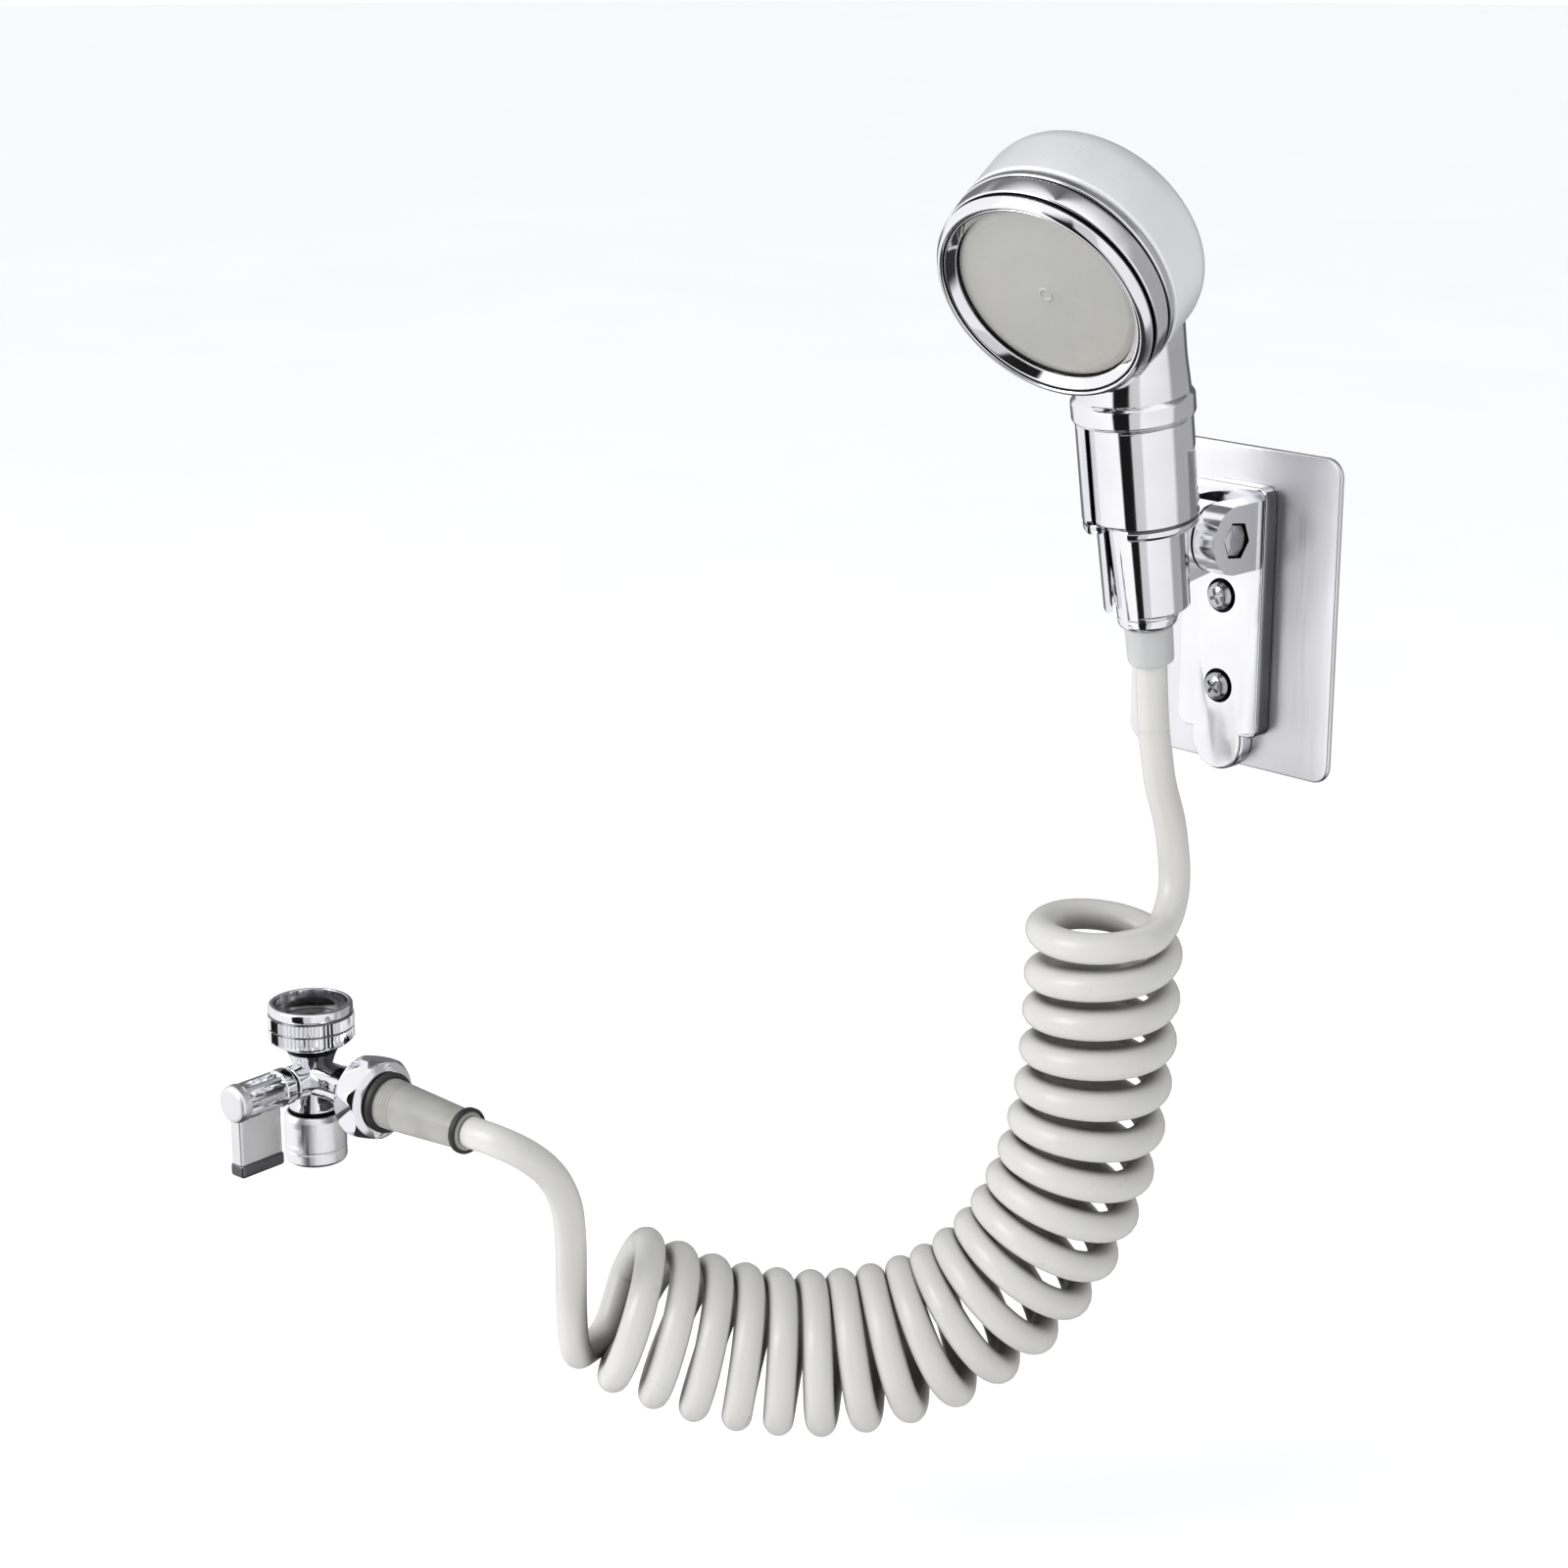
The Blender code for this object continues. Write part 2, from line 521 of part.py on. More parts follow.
def inlet_parts(valve):
    nut = fluted("inlet_nut", 12.6, 0.45, 36, 11.5, 19.4, chrome(), valve)
    band = cutter(turned, "nut_band",
                  [(0, 23.4), (11.9, 23.4), (12.4, 22.9), (12.4, 20.6), (11.7, 20.0),
                   (11.7, 11.9), (11.2, 11.2), (0, 11.2)], parent=valve)
    combine(nut, [band], "UNION")
    bore = cutter(turned, "nut_bore_inlet", [(0, 30), (10.9, 30), (10.9, 13.4), (8.5, 13.4),
                                             (8.5, 8), (0, 8)], parent=valve)
    combine(nut, [bore], "DIFFERENCE")
    turned("inlet_washer", [(10.5, 17.2), (10.5, 15.3), (7.0, 15.3), (7.0, 17.2)],
           black_rubber(), valve, steps=32)


def valve_body_part(valve):
    body = turned("valve_body",
                  [(0, 15.0), (10.3, 15.0), (10.3, 13.8), (8.1, 13.6), (8.1, 10.4), (7.5, 8.6),
                   (6.5, 5.0), (6.3, 0), (6.5, -5.0), (7.3, -8.8), (7.3, -14.8), (0, -14.8)],
                  chrome(), valve)
    side = cutter(turned, "side_boss", [(0, 26.6), (10.0, 26.6), (10.3, 26.3), (10.3, 22.2),
                                        (8.6, 21.2), (6.7, 20.0), (6.7, 0), (0, 0)],
                  parent=valve, rot=ALONG_X)
    boss = cutter(turned, "lever_boss", [(0, 9.6), (6.1, 9.6), (6.5, 9.2), (6.5, 0), (0, 0)],
                  parent=valve, rot=ALONG_MINUS_Y)
    combine(body, [side, boss], "UNION")
    bm = bmesh.new()
    bmesh.ops.create_uvsphere(bm, u_segments=20, v_segments=10, radius=4.9)
    chamber = new_object("cut_chamber", bm, parent=valve, coll=CUTTERS)
    cuts = [chamber,
            cutter(rod, "inlet_way", 3.0, (0, 0, 0), (0, 0, 20), parent=valve),
            cutter(rod, "inlet_mouth", 6.6, (0, 0, 9.0), (0, 0, 20), parent=valve),
            cutter(rod, "outlet_way", 3.0, (0, 0, 0), (0, 0, -20), parent=valve),
            cutter(rod, "side_way", 2.6, (0, 0, 0), (30, 0, 0), parent=valve),
            cutter(rod, "stem_way", 2.5, (0, 0, 0), (0, -12, 0), parent=valve),
            cutter(rod, "stem_seat", 4.0, (0, -6.6, 0), (0, -12, 0), parent=valve)]
    combine(body, cuts, "DIFFERENCE")


def valve_core_parts(valve):
    bm = bmesh.new()
    bmesh.ops.create_uvsphere(bm, u_segments=20, v_segments=10, radius=4.6)
    ball = new_object("valve_ball", bm, brass(), valve)
    ways = [cutter(rod, "ball_way_z", 2.2, (0, 0, -6), (0, 0, 6), parent=valve),
            cutter(rod, "ball_slot", 2.5, (0, -4.0, 0), (0, -8.0, 0), parent=valve)]
    combine(ball, ways, "DIFFERENCE")
    turned("lever_stem", [(0, 21.4), (1.9, 21.4), (2.2, 21.1), (2.2, 4.4), (0, 4.4)], brass(),
           valve, steps=32, rot=ALONG_MINUS_Y)
    turned("stem_seal", [(3.7, 8.6), (3.7, 7.0), (2.45, 7.0), (2.45, 8.6)], black_rubber(),
           valve, steps=32, rot=ALONG_MINUS_Y)
    gland = rod("gland_nut", 5.6, (0, -9.9, 0), (0, -12.6, 0), chrome(), valve, segments=6)
    bore = cutter(rod, "gland_bore", 2.5, (0, -8, 0), (0, -14, 0), parent=valve)
    combine(gland, [bore], "DIFFERENCE")


def lever_part(valve):
    lever = turned("lever", [(0, 32.0), (2.4, 31.6), (4.2, 30.4), (5.2, 28.4), (5.4, 26.0),
                             (5.4, 14.0), (4.9, 13.0), (0, 13.0)], chrome(), valve,
                   steps=32, rot=ALONG_MINUS_Y)
    paddle = cutter(box, "paddle", (-2.3, -30.6, -22.8), (2.3, -14.6, -1.0), parent=valve,
                    bevel=1.0)
    combine(lever, [paddle], "UNION")
    bore = cutter(rod, "lever_bore", 2.5, (0, -10, 0), (0, -21.8, 0), parent=valve)
    combine(lever, [bore], "DIFFERENCE")


def aerator_parts(valve):
    turned("aerator_housing",
           [(7.7, -10.4), (8.4, -10.6), (9.2, -12.2), (9.2, -24.9), (8.7, -25.8), (7.8, -25.8),
            (7.8, -16.4), (7.6, -16.2)], chrome(), valve)
    insert = turned("aerator_insert", [(0, -19.5), (7.5, -19.5), (7.5, -24.6), (0, -24.6)],
                    grey_plastic(), valve, steps=32)
    combine(insert, [ring_holes("aerator_holes", valve, ((2.0, 3), (5.2, 7)), 1.0, -26, -18, 6)],
            "DIFFERENCE")


def tail_parts(valve):
    nut = turned("tail_nut", [(0, 31.2), (9.2, 31.2), (11.4, 30.2), (12.6, 28.2), (12.6, 24.2),
                              (11.8, 22.4), (11.2, 21.6), (0, 21.6)], chrome(), valve,
                 rot=ALONG_X)
    hexagon = cutter(rod, "tail_hex", 13.2, (10, 0, 0), (40, 0, 0), parent=valve, segments=6,
                     turn=math.radians(12))
    combine(nut, [hexagon], "INTERSECT")
    bore = cutter(turned, "tail_nut_bore", [(0, 35), (6.7, 35), (6.7, 29.4), (10.6, 29.4),
                                            (10.6, 10), (0, 10)], parent=valve, rot=ALONG_X)
    combine(nut, [bore], "DIFFERENCE")
    turned("tail_washer", [(9.7, 27.9), (9.7, 26.9), (4.2, 26.9), (4.2, 27.9)], black_rubber(),
           valve, steps=32, rot=ALONG_X)
    turned("tail_fitting", [(2.1, 65.4), (2.7, 65.4), (3.1, 65.0), (3.1, 31.4), (6.2, 31.2),
                            (6.2, 29.1), (9.7, 29.1), (9.7, 28.2), (2.1, 28.2)], brass(), valve,
           steps=32, rot=ALONG_X)
    turned("tail_sleeve", [(3.4, 66.5), (5.3, 66.5), (5.7, 66.0), (7.6, 32.1), (7.2, 31.5),
                           (3.4, 31.5)], grey_plastic(), valve, steps=32, rot=ALONG_X)
    turned("sleeve_ring_front", [(8.5, 33.7), (8.8, 33.1), (8.8, 32.3), (8.5, 31.7),
                                 (7.85, 31.7), (7.85, 33.7)], black_rubber(), valve,
           steps=32, rot=ALONG_X)
    turned("sleeve_ring_back", [(6.6, 65.6), (6.8, 65.2), (6.8, 64.4), (6.6, 64.0),
                                (6.05, 64.0), (6.05, 65.6)], black_rubber(), valve,
           steps=32, rot=ALONG_X)


def build():
    wall_plate_parts()
    holder_base_part()
    base_screw_part("base_screw_upper", SCREW_Z[0])
    base_screw_part("base_screw_lower", SCREW_Z[1])
    pivot_parts()
    pivot = empty("jaw_pivot", (0, PIVOT_Y, PIVOT_Z), (JAW_TILT, 0, 0))
    holder_jaw_part(pivot)
    handle = empty("handle_axis", (0, -AXIS_OUT, 0), parent=pivot)
    hose_end_parts(handle)
    sprayer = empty("sprayer_axis", (0, 0, 0), (0, 0, TWIST), parent=handle)
    head = empty("head_axis", (0, -HEAD_OUT, HEAD_UP), (HEAD_TURN, 0, 0), parent=sprayer)
    handset_parts(sprayer, head)
    hose_parts()
    valve = empty("valve_axis", VALVE, (0, 0, VALVE_TURN))
    inlet_parts(valve)
    valve_body_part(valve)
    valve_core_parts(valve)
    lever_part(valve)
    aerator_parts(valve)
    tail_parts(valve)


build()
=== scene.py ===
"""Looks of a handheld bath sprayer: wall bracket, sprayer, coiled hose and tap diverter valve.

Every piece is shaped in millimetres in the frame of the part it belongs to, then placed by
that frame and made to ride on the part's body.
"""
import json
import math

import bmesh
import bpy
from mathutils import Matrix, Vector


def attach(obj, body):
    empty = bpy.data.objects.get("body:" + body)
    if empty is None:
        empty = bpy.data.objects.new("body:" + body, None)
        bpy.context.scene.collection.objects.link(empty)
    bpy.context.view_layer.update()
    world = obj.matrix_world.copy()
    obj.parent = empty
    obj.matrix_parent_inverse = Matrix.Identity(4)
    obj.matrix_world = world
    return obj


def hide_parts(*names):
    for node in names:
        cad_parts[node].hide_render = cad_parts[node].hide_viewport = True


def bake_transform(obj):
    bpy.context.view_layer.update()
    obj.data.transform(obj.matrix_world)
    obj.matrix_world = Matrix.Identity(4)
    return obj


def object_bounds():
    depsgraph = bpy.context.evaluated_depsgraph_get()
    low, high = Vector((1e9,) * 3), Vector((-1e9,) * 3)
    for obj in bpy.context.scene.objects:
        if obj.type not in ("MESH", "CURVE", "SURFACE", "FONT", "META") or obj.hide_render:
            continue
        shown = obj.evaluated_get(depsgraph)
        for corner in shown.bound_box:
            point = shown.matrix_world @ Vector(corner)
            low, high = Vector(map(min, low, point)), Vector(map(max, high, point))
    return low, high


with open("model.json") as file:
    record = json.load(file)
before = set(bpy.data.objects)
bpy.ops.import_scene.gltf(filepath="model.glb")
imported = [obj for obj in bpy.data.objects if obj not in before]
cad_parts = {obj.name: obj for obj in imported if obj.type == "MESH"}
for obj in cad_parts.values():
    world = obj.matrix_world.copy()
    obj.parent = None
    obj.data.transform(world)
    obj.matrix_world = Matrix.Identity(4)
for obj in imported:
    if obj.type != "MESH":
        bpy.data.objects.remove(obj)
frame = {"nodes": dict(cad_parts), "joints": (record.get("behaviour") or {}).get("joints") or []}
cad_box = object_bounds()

MM = 0.001
JOINTS = {j["name"]: j for j in frame["joints"]}

# ------------------------------------------------------------------ driving sizes

AXIS_OUT = 24.8                       # pivot to handle axis
TWIST = math.radians(7.4)             # how far the sprayer is turned in its jaw
TUBE_R = 4.6                          # hose
COIL_R = (18.5, 20.5)                 # mean radius of the turns, top and lower part
COIL_GROWS = (4, 15)                  # turns between which the radius grows
COIL_LEAN = [(0, 0), (5, 1.2), (9, 4.8), (15, 4.2), (18, 0), (21, -5)]   # (turn, degrees)
FIRST_TURN, LAST_TURN = 0.15, 20.85
FLAT_LIFT = 0.0035                    # metres that the first turn's back is raised
RING_SIDES = 24
STEPS_A_TURN = 40

# ------------------------------------------------------------------ frames


def frame_at(origin, z_axis, x_hint=(1, 0, 0)):
    """Matrix from a part's own millimetres to the world's metres."""
    z = Vector(z_axis).normalized()
    x = Vector(x_hint)
    x = (x - z * x.dot(z)).normalized()
    turn = Matrix((x, z.cross(x), z)).transposed().to_4x4()
    return Matrix.Translation(origin) @ turn @ Matrix.Scale(MM, 4)


WORLD = Matrix.Scale(MM, 4)
JAW = frame_at(JOINTS["jaw_tilt"]["pos_m"], JOINTS["sprayer_lift"]["axis"])
HANDLE = JAW @ Matrix.Translation((0, -AXIS_OUT, 0))
SPRAYER = HANDLE @ Matrix.Rotation(TWIST, 4, "Z")
HEAD = frame_at(JOINTS["bezel_unscrew"]["pos_m"], JOINTS["bezel_unscrew"]["axis"],
                SPRAYER.to_3x3() @ Vector((1, 0, 0)))
VALVE = frame_at(JOINTS["inlet_nut_turn"]["pos_m"], (0, 0, 1), JOINTS["tail_nut_turn"]["axis"])
ALONG_X = Matrix.Rotation(math.radians(90), 4, "Y")
ALONG_MINUS_Y = Matrix.Rotation(math.radians(90), 4, "X")
PIVOT = WORLD.inverted() @ Vector(JOINTS["jaw_tilt"]["pos_m"])

# ------------------------------------------------------------------ camera and light

CAM_TURN, CAM_PITCH = math.radians(45.87), math.radians(16.32)
CAM_POS = (0.5846, -0.75167, 0.22104)
CAM_LENS = 75.96
KEY_PLACE, KEY_TARGET = (-0.46, -1.38, 0.62), (-0.05, -0.1, -0.1)
KEY_SIZE, KEY_WATTS = 0.9, 11
SHINE, FILL = 1.08, 0.72              # strength of the room as metal sees it, and of its light


def camera():
    cam = bpy.data.objects.new("camera", bpy.data.cameras.new("camera"))
    bpy.context.scene.collection.objects.link(cam)
    cam.location = CAM_POS
    cam.rotation_euler = (math.radians(90) - CAM_PITCH, 0, CAM_TURN)
    cam.data.lens = CAM_LENS
    cam.data.clip_start = 0.05
    bpy.context.scene.camera = cam


def key_light():
    """One large soft light, high on the camera's left."""
    light = bpy.data.lights.new("key", "AREA")
    light.size = KEY_SIZE
    light.energy = KEY_WATTS
    obj = bpy.data.objects.new("key", light)
    bpy.context.scene.collection.objects.link(obj)
    obj.location = KEY_PLACE
    aim = Vector(KEY_TARGET) - Vector(KEY_PLACE)
    obj.rotation_euler = aim.to_track_quat("-Z", "Y").to_euler()


# What polished metal sees round the room: degrees from the camera's direction, brightness
ROOM_BANDS = [(-180, 0.15), (-158, 0.2), (-148, 0.9), (-46, 1.0), (-43, 0.01), (-13, 0.01),
              (-11, 0.6), (7, 0.62), (10, 0.88), (70, 0.8), (78, 0.38), (134, 0.38), (142, 0.1),
              (180, 0.15)]
CEILING_BANDS = [(-180, 0.15), (-150, 0.2), (-140, 0.9), (60, 1.0), (80, 0.25), (130, 0.12),
                 (180, 0.15)]
UNDER_ROOM = (0.03, 0.03, 0.035, 1)
COOL_CAST = 1.02                      # blue against red and green in the bands


def ramp_of(tree, source, bands):
    ramp = tree.nodes.new("ShaderNodeValToRGB")
    stops = ramp.color_ramp.elements
    while len(stops) < len(bands):
        stops.new(0.5)
    for stop, (angle, value) in zip(stops, bands):
        stop.position = angle / 360 + 0.5
        stop.color = (value, value, min(1.0, value * COOL_CAST), 1)
    tree.links.new(source, ramp.inputs[0])
    return ramp.outputs[0]


def studio():
    """White room with soft dark strips that only polished metal shows."""
    scene = bpy.context.scene
    world = bpy.data.worlds.new("studio")
    scene.world = world
    world.use_nodes = True
    tree = world.node_tree
    tree.nodes.clear()

    def math_node(operation, *inputs):
        made = tree.nodes.new("ShaderNodeMath")
        made.operation = operation
        for slot, value in zip(made.inputs, inputs):
            if isinstance(value, (int, float)):
                slot.default_value = value
            else:
                tree.links.new(value, slot)
        return made.outputs[0]

    coords = tree.nodes.new("ShaderNodeTexCoord")
    turn = tree.nodes.new("ShaderNodeMapping")
    turn.vector_type = "VECTOR"
    turn.inputs["Rotation"].default_value = (0, 0, -CAM_TURN)
    tree.links.new(coords.outputs["Generated"], turn.inputs["Vector"])
    split = tree.nodes.new("ShaderNodeSeparateXYZ")
    tree.links.new(turn.outputs[0], split.inputs[0])
    angle = math_node("ARCTAN2", split.outputs["X"], math_node("MULTIPLY", split.outputs["Y"], -1))
    share = math_node("MULTIPLY_ADD", angle, 1 / math.tau, 0.5)

    def by_height(low, high, below, above):
        mix = tree.nodes.new("ShaderNodeMix")
        mix.data_type = "RGBA"
        step = tree.nodes.new("ShaderNodeMapRange")
        step.interpolation_type = "SMOOTHSTEP"
        step.inputs["From Min"].default_value = low
        step.inputs["From Max"].default_value = high
        tree.links.new(split.outputs["Z"], step.inputs["Value"])
        tree.links.new(step.outputs[0], mix.inputs["Factor"])
        tree.links.new(above, mix.inputs["B"])
        if below:
            tree.links.new(below, mix.inputs["A"])
        else:
            mix.inputs["A"].default_value = UNDER_ROOM
        return mix.outputs["Result"]

    walls = by_height(0.45, 0.6, ramp_of(tree, share, ROOM_BANDS),
                      ramp_of(tree, share, CEILING_BANDS))
    room = by_height(-0.85, -0.7, None, walls)

    path = tree.nodes.new("ShaderNodeLightPath")
    shine = tree.nodes.new("ShaderNodeBackground")
    tree.links.new(room, shine.inputs["Color"])
    shine.inputs["Strength"].default_value = SHINE
    fill = tree.nodes.new("ShaderNodeBackground")
    fill.inputs["Color"].default_value = (0.97, 0.98, 1.0, 1)
    fill.inputs["Strength"].default_value = FILL
    white = tree.nodes.new("ShaderNodeBackground")
    white.inputs["Color"].default_value = (1, 1, 1, 1)
    white.inputs["Strength"].default_value = 1.0
    by_gloss = tree.nodes.new("ShaderNodeMixShader")
    tree.links.new(path.outputs["Is Glossy Ray"], by_gloss.inputs[0])
    tree.links.new(fill.outputs[0], by_gloss.inputs[1])
    tree.links.new(shine.outputs[0], by_gloss.inputs[2])
    by_view = tree.nodes.new("ShaderNodeMixShader")
    tree.links.new(path.outputs["Is Camera Ray"], by_view.inputs[0])
    tree.links.new(by_gloss.outputs[0], by_view.inputs[1])
    tree.links.new(white.outputs[0], by_view.inputs[2])
    out = tree.nodes.new("ShaderNodeOutputWorld")
    tree.links.new(by_view.outputs[0], out.inputs[0])

    key_light()
    scene.view_settings.view_transform = "Standard"


FLOOR_R, FLOOR_DROP = 9.0, 0.05       # metres; the hose hangs this far above it
FLOOR_GLOW = 0.28                     # lit from beneath, so that it stays pale far away


def floor():
    """Plain pale floor under the hose."""
    bm = bmesh.new()
    bmesh.ops.create_circle(bm, cap_ends=True, segments=96, radius=FLOOR_R)
    mesh = bpy.data.meshes.new("floor")
    bm.to_mesh(mesh)
    bm.free()
    obj = bpy.data.objects.new("floor", mesh)
    bpy.context.scene.collection.objects.link(obj)
    obj.location = (0, 0, cad_box[0].z - FLOOR_DROP)
    obj.visible_glossy = False
    paint = matte("floor_paint", (0.95, 0.95, 0.95), (0.97, 0.97, 0.97), 3, 0.9)
    shader = paint.node_tree.nodes["Principled BSDF"]
    shader.inputs["Emission Color"].default_value = (1, 1, 1, 1)
    shader.inputs["Emission Strength"].default_value = FLOOR_GLOW
    mesh.materials.append(paint)


# ------------------------------------------------------------------ materials

def new_material(name):
    mat = bpy.data.materials.new(name)
    mat.use_nodes = True
    return mat, mat.node_tree, mat.node_tree.nodes["Principled BSDF"]


def noise(tree, scale, stretch=(1, 1, 1), detail=3.0, turn=(0, 0, 0)):
    """Noise in the piece's own space, so that it moves with the piece; scale is per metre."""
    coords = tree.nodes.new("ShaderNodeTexCoord")
    place = tree.nodes.new("ShaderNodeMapping")
    place.inputs["Scale"].default_value = stretch
    place.inputs["Rotation"].default_value = turn
    tree.links.new(coords.outputs["Object"], place.inputs["Vector"])
    tex = tree.nodes.new("ShaderNodeTexNoise")
    tex.inputs["Scale"].default_value = scale
    tex.inputs["Detail"].default_value = detail
    tree.links.new(place.outputs[0], tex.inputs["Vector"])
    return tex.outputs["Fac"]


def between(tree, source, low, high, start=0.3, stop=0.7):
    """Number or colour that runs from low to high as source runs from start to stop."""
    reach = tree.nodes.new("ShaderNodeMapRange")
    reach.inputs["From Min"].default_value = start
    reach.inputs["From Max"].default_value = stop
    tree.links.new(source, reach.inputs["Value"])
    if not hasattr(low, "__len__"):
        reach.inputs["To Min"].default_value = low
        reach.inputs["To Max"].default_value = high
        return reach.outputs[0]
    mix = tree.nodes.new("ShaderNodeMix")
    mix.data_type = "RGBA"
    mix.inputs["A"].default_value = (*low, 1)
    mix.inputs["B"].default_value = (*high, 1)
    tree.links.new(reach.outputs[0], mix.inputs["Factor"])
    return mix.outputs["Result"]


def bump(tree, shader, *layers):
    """Stack of (height, depth in metres) bumps on the shader's normal."""
    last = None
    for height, depth in layers:
        node = tree.nodes.new("ShaderNodeBump")
        node.inputs["Distance"].default_value = depth
        node.inputs["Strength"].default_value = 1.0
        tree.links.new(height, node.inputs["Height"])
        if last:
            tree.links.new(last, node.inputs["Normal"])
        last = node.outputs[0]
    tree.links.new(last, shader.inputs["Normal"])


def polished(name, low, high, rough, wave=0.00002):
    """Plated metal: faint cloudiness, fine wiping marks and a slightly wavy plating."""
    mat, tree, shader = new_material(name)
    shader.inputs["Metallic"].default_value = 1.0
    tree.links.new(between(tree, noise(tree, 45), low, high), shader.inputs["Base Color"])
    marks = noise(tree, 260, (1, 1, 0.15), 5)
    tree.links.new(between(tree, marks, rough * 0.6, rough * 1.6), shader.inputs["Roughness"])
    bump(tree, shader, (noise(tree, 70, detail=1), wave), (noise(tree, 900, detail=2), 0.0000012))
    return mat


def brushed(name, low, high, rough, stretch, depth=0.000008):
    """Satin metal with a fine grain that runs along the short side of stretch."""
    mat, tree, shader = new_material(name)
    shader.inputs["Metallic"].default_value = 1.0
    cloud = noise(tree, 22, detail=2)
    tree.links.new(between(tree, cloud, low, high), shader.inputs["Base Color"])
    grain = noise(tree, 1500, stretch, 2)
    tree.links.new(between(tree, grain, rough * 0.8, rough * 1.25), shader.inputs["Roughness"])
    bump(tree, shader, (grain, depth))
    return mat


def matte(name, low, high, scale, rough, depth=0.00001, coat=0.0):
    """Moulded plastic, rubber or foam: mottled colour and a fine pebbled skin."""
    mat, tree, shader = new_material(name)
    tree.links.new(between(tree, noise(tree, scale), low, high), shader.inputs["Base Color"])
    tree.links.new(between(tree, noise(tree, scale * 3), rough * 0.85, rough * 1.1),
                   shader.inputs["Roughness"])
    shader.inputs["Coat Weight"].default_value = coat
    bump(tree, shader, (noise(tree, 1800, detail=3), depth))
    return mat


def hose_skin():
    """Off-white PVC: slightly translucent, mottled, softly glossy, with painted shade between the
    turns.
    """
    mat, tree, shader = new_material("hose_skin")
    tint = between(tree, noise(tree, 18, detail=2), (0.62, 0.61, 0.585), (0.69, 0.682, 0.66))
    # Painted shade: ambient occlusion pulls the colour towards near-black in the creases between the
    # turns.
    crease_shade_ao = tree.nodes.new("ShaderNodeAmbientOcclusion")
    crease_shade_ao.samples = 6
    crease_shade_ao.inputs["Distance"].default_value = 0.04
    tree.links.new(tint, crease_shade_ao.inputs["Color"])
    shade = tree.nodes.new("ShaderNodeMix")
    shade.data_type = "RGBA"
    shade.inputs["A"].default_value = (0.075, 0.072, 0.064, 1)
    tree.links.new(between(tree, crease_shade_ao.outputs["AO"], 0.0, 1.0, 0.16, 0.6),
                   shade.inputs["Factor"])
    tree.links.new(tint, shade.inputs["B"])
    tree.links.new(shade.outputs["Result"], shader.inputs["Base Color"])
    tree.links.new(between(tree, noise(tree, 120), 0.27, 0.42), shader.inputs["Roughness"])
    shader.inputs["Subsurface Weight"].default_value = 0.12
    shader.inputs["Subsurface Scale"].default_value = 0.003
    shader.inputs["Subsurface Radius"].default_value = (1.0, 0.9, 0.75)
    shader.inputs["Coat Weight"].default_value = 0.15
    shader.inputs["Coat Roughness"].default_value = 0.2
    bump(tree, shader, (noise(tree, 200, detail=1), 0.00004), (noise(tree, 1600), 0.000003))
    return mat


CHROME = polished("chrome_plate", (0.84, 0.835, 0.87), (0.93, 0.93, 0.95), 0.06)
CHROME_CAST = polished("chrome_on_casting", (0.80, 0.80, 0.83), (0.92, 0.92, 0.94), 0.085, 0.00004)
PEARL = matte("pearl_plating", (0.89, 0.89, 0.895), (0.94, 0.94, 0.945), 24, 0.3, 0.000001, 0.2)
PEARL.node_tree.nodes["Principled BSDF"].inputs["Metallic"].default_value = 0.3
BASE_CHROME = polished("base_chrome", (0.90, 0.90, 0.93), (0.97, 0.97, 0.98), 0.13)
SCREW_STEEL = polished("screw_steel", (0.42, 0.42, 0.44), (0.60, 0.60, 0.62), 0.2)
# Painted shade: dark plating laid on flanks, grooves and hollows where shade falls.
PAINTED_SHADE = polished("painted_shade_plating", (0.12, 0.12, 0.13), (0.20, 0.20, 0.215), 0.3)
# Painted shade: near-black plating laid in recesses, grooves and gaps where deep shade falls.
PAINTED_DEEP_SHADE = polished("painted_deep_shade", (0.006, 0.006, 0.007), (0.02, 0.02, 0.022), 0.4)
SATIN_PLATE = brushed("satin_plate", (0.75, 0.745, 0.775), (0.89, 0.885, 0.91), 0.36, (1, 1, 0.02))
SATIN_LEVER = brushed("satin_lever", (0.76, 0.76, 0.77), (0.92, 0.92, 0.93), 0.34,
                      (1, 1, 0.03), 0.000003)
SATIN_SPOUT = brushed("satin_spout", (0.90, 0.90, 0.91), (0.97, 0.97, 0.98), 0.34,
                      (1, 1, 0.05), 0.000003)
BRASS = brushed("turned_brass", (0.62, 0.46, 0.20), (0.78, 0.62, 0.30), 0.3, (1, 1, 0.05))
RUBBER = matte("black_rubber", (0.012, 0.012, 0.013), (0.03, 0.03, 0.032), 90, 0.5)
FOAM = matte("pad_foam", (0.62, 0.62, 0.60), (0.78, 0.78, 0.76), 700, 0.9, 0.0001)
WHITE = matte("moulded_white", (0.80, 0.80, 0.78), (0.86, 0.86, 0.84), 60, 0.4)
FERRULE = matte("ferrule_grey", (0.50, 0.50, 0.50), (0.58, 0.58, 0.58), 60, 0.38, coat=0.2)
GREY = matte("moulded_grey", (0.42, 0.42, 0.42), (0.52, 0.52, 0.51), 80, 0.45)
SLEEVE = matte("sleeve_cream", (0.31, 0.306, 0.284), (0.42, 0.413, 0.385), 70, 0.4, 0.00002, 0.15)
HOSE = hose_skin()

# ------------------------------------------------------------------ solids, in millimetres


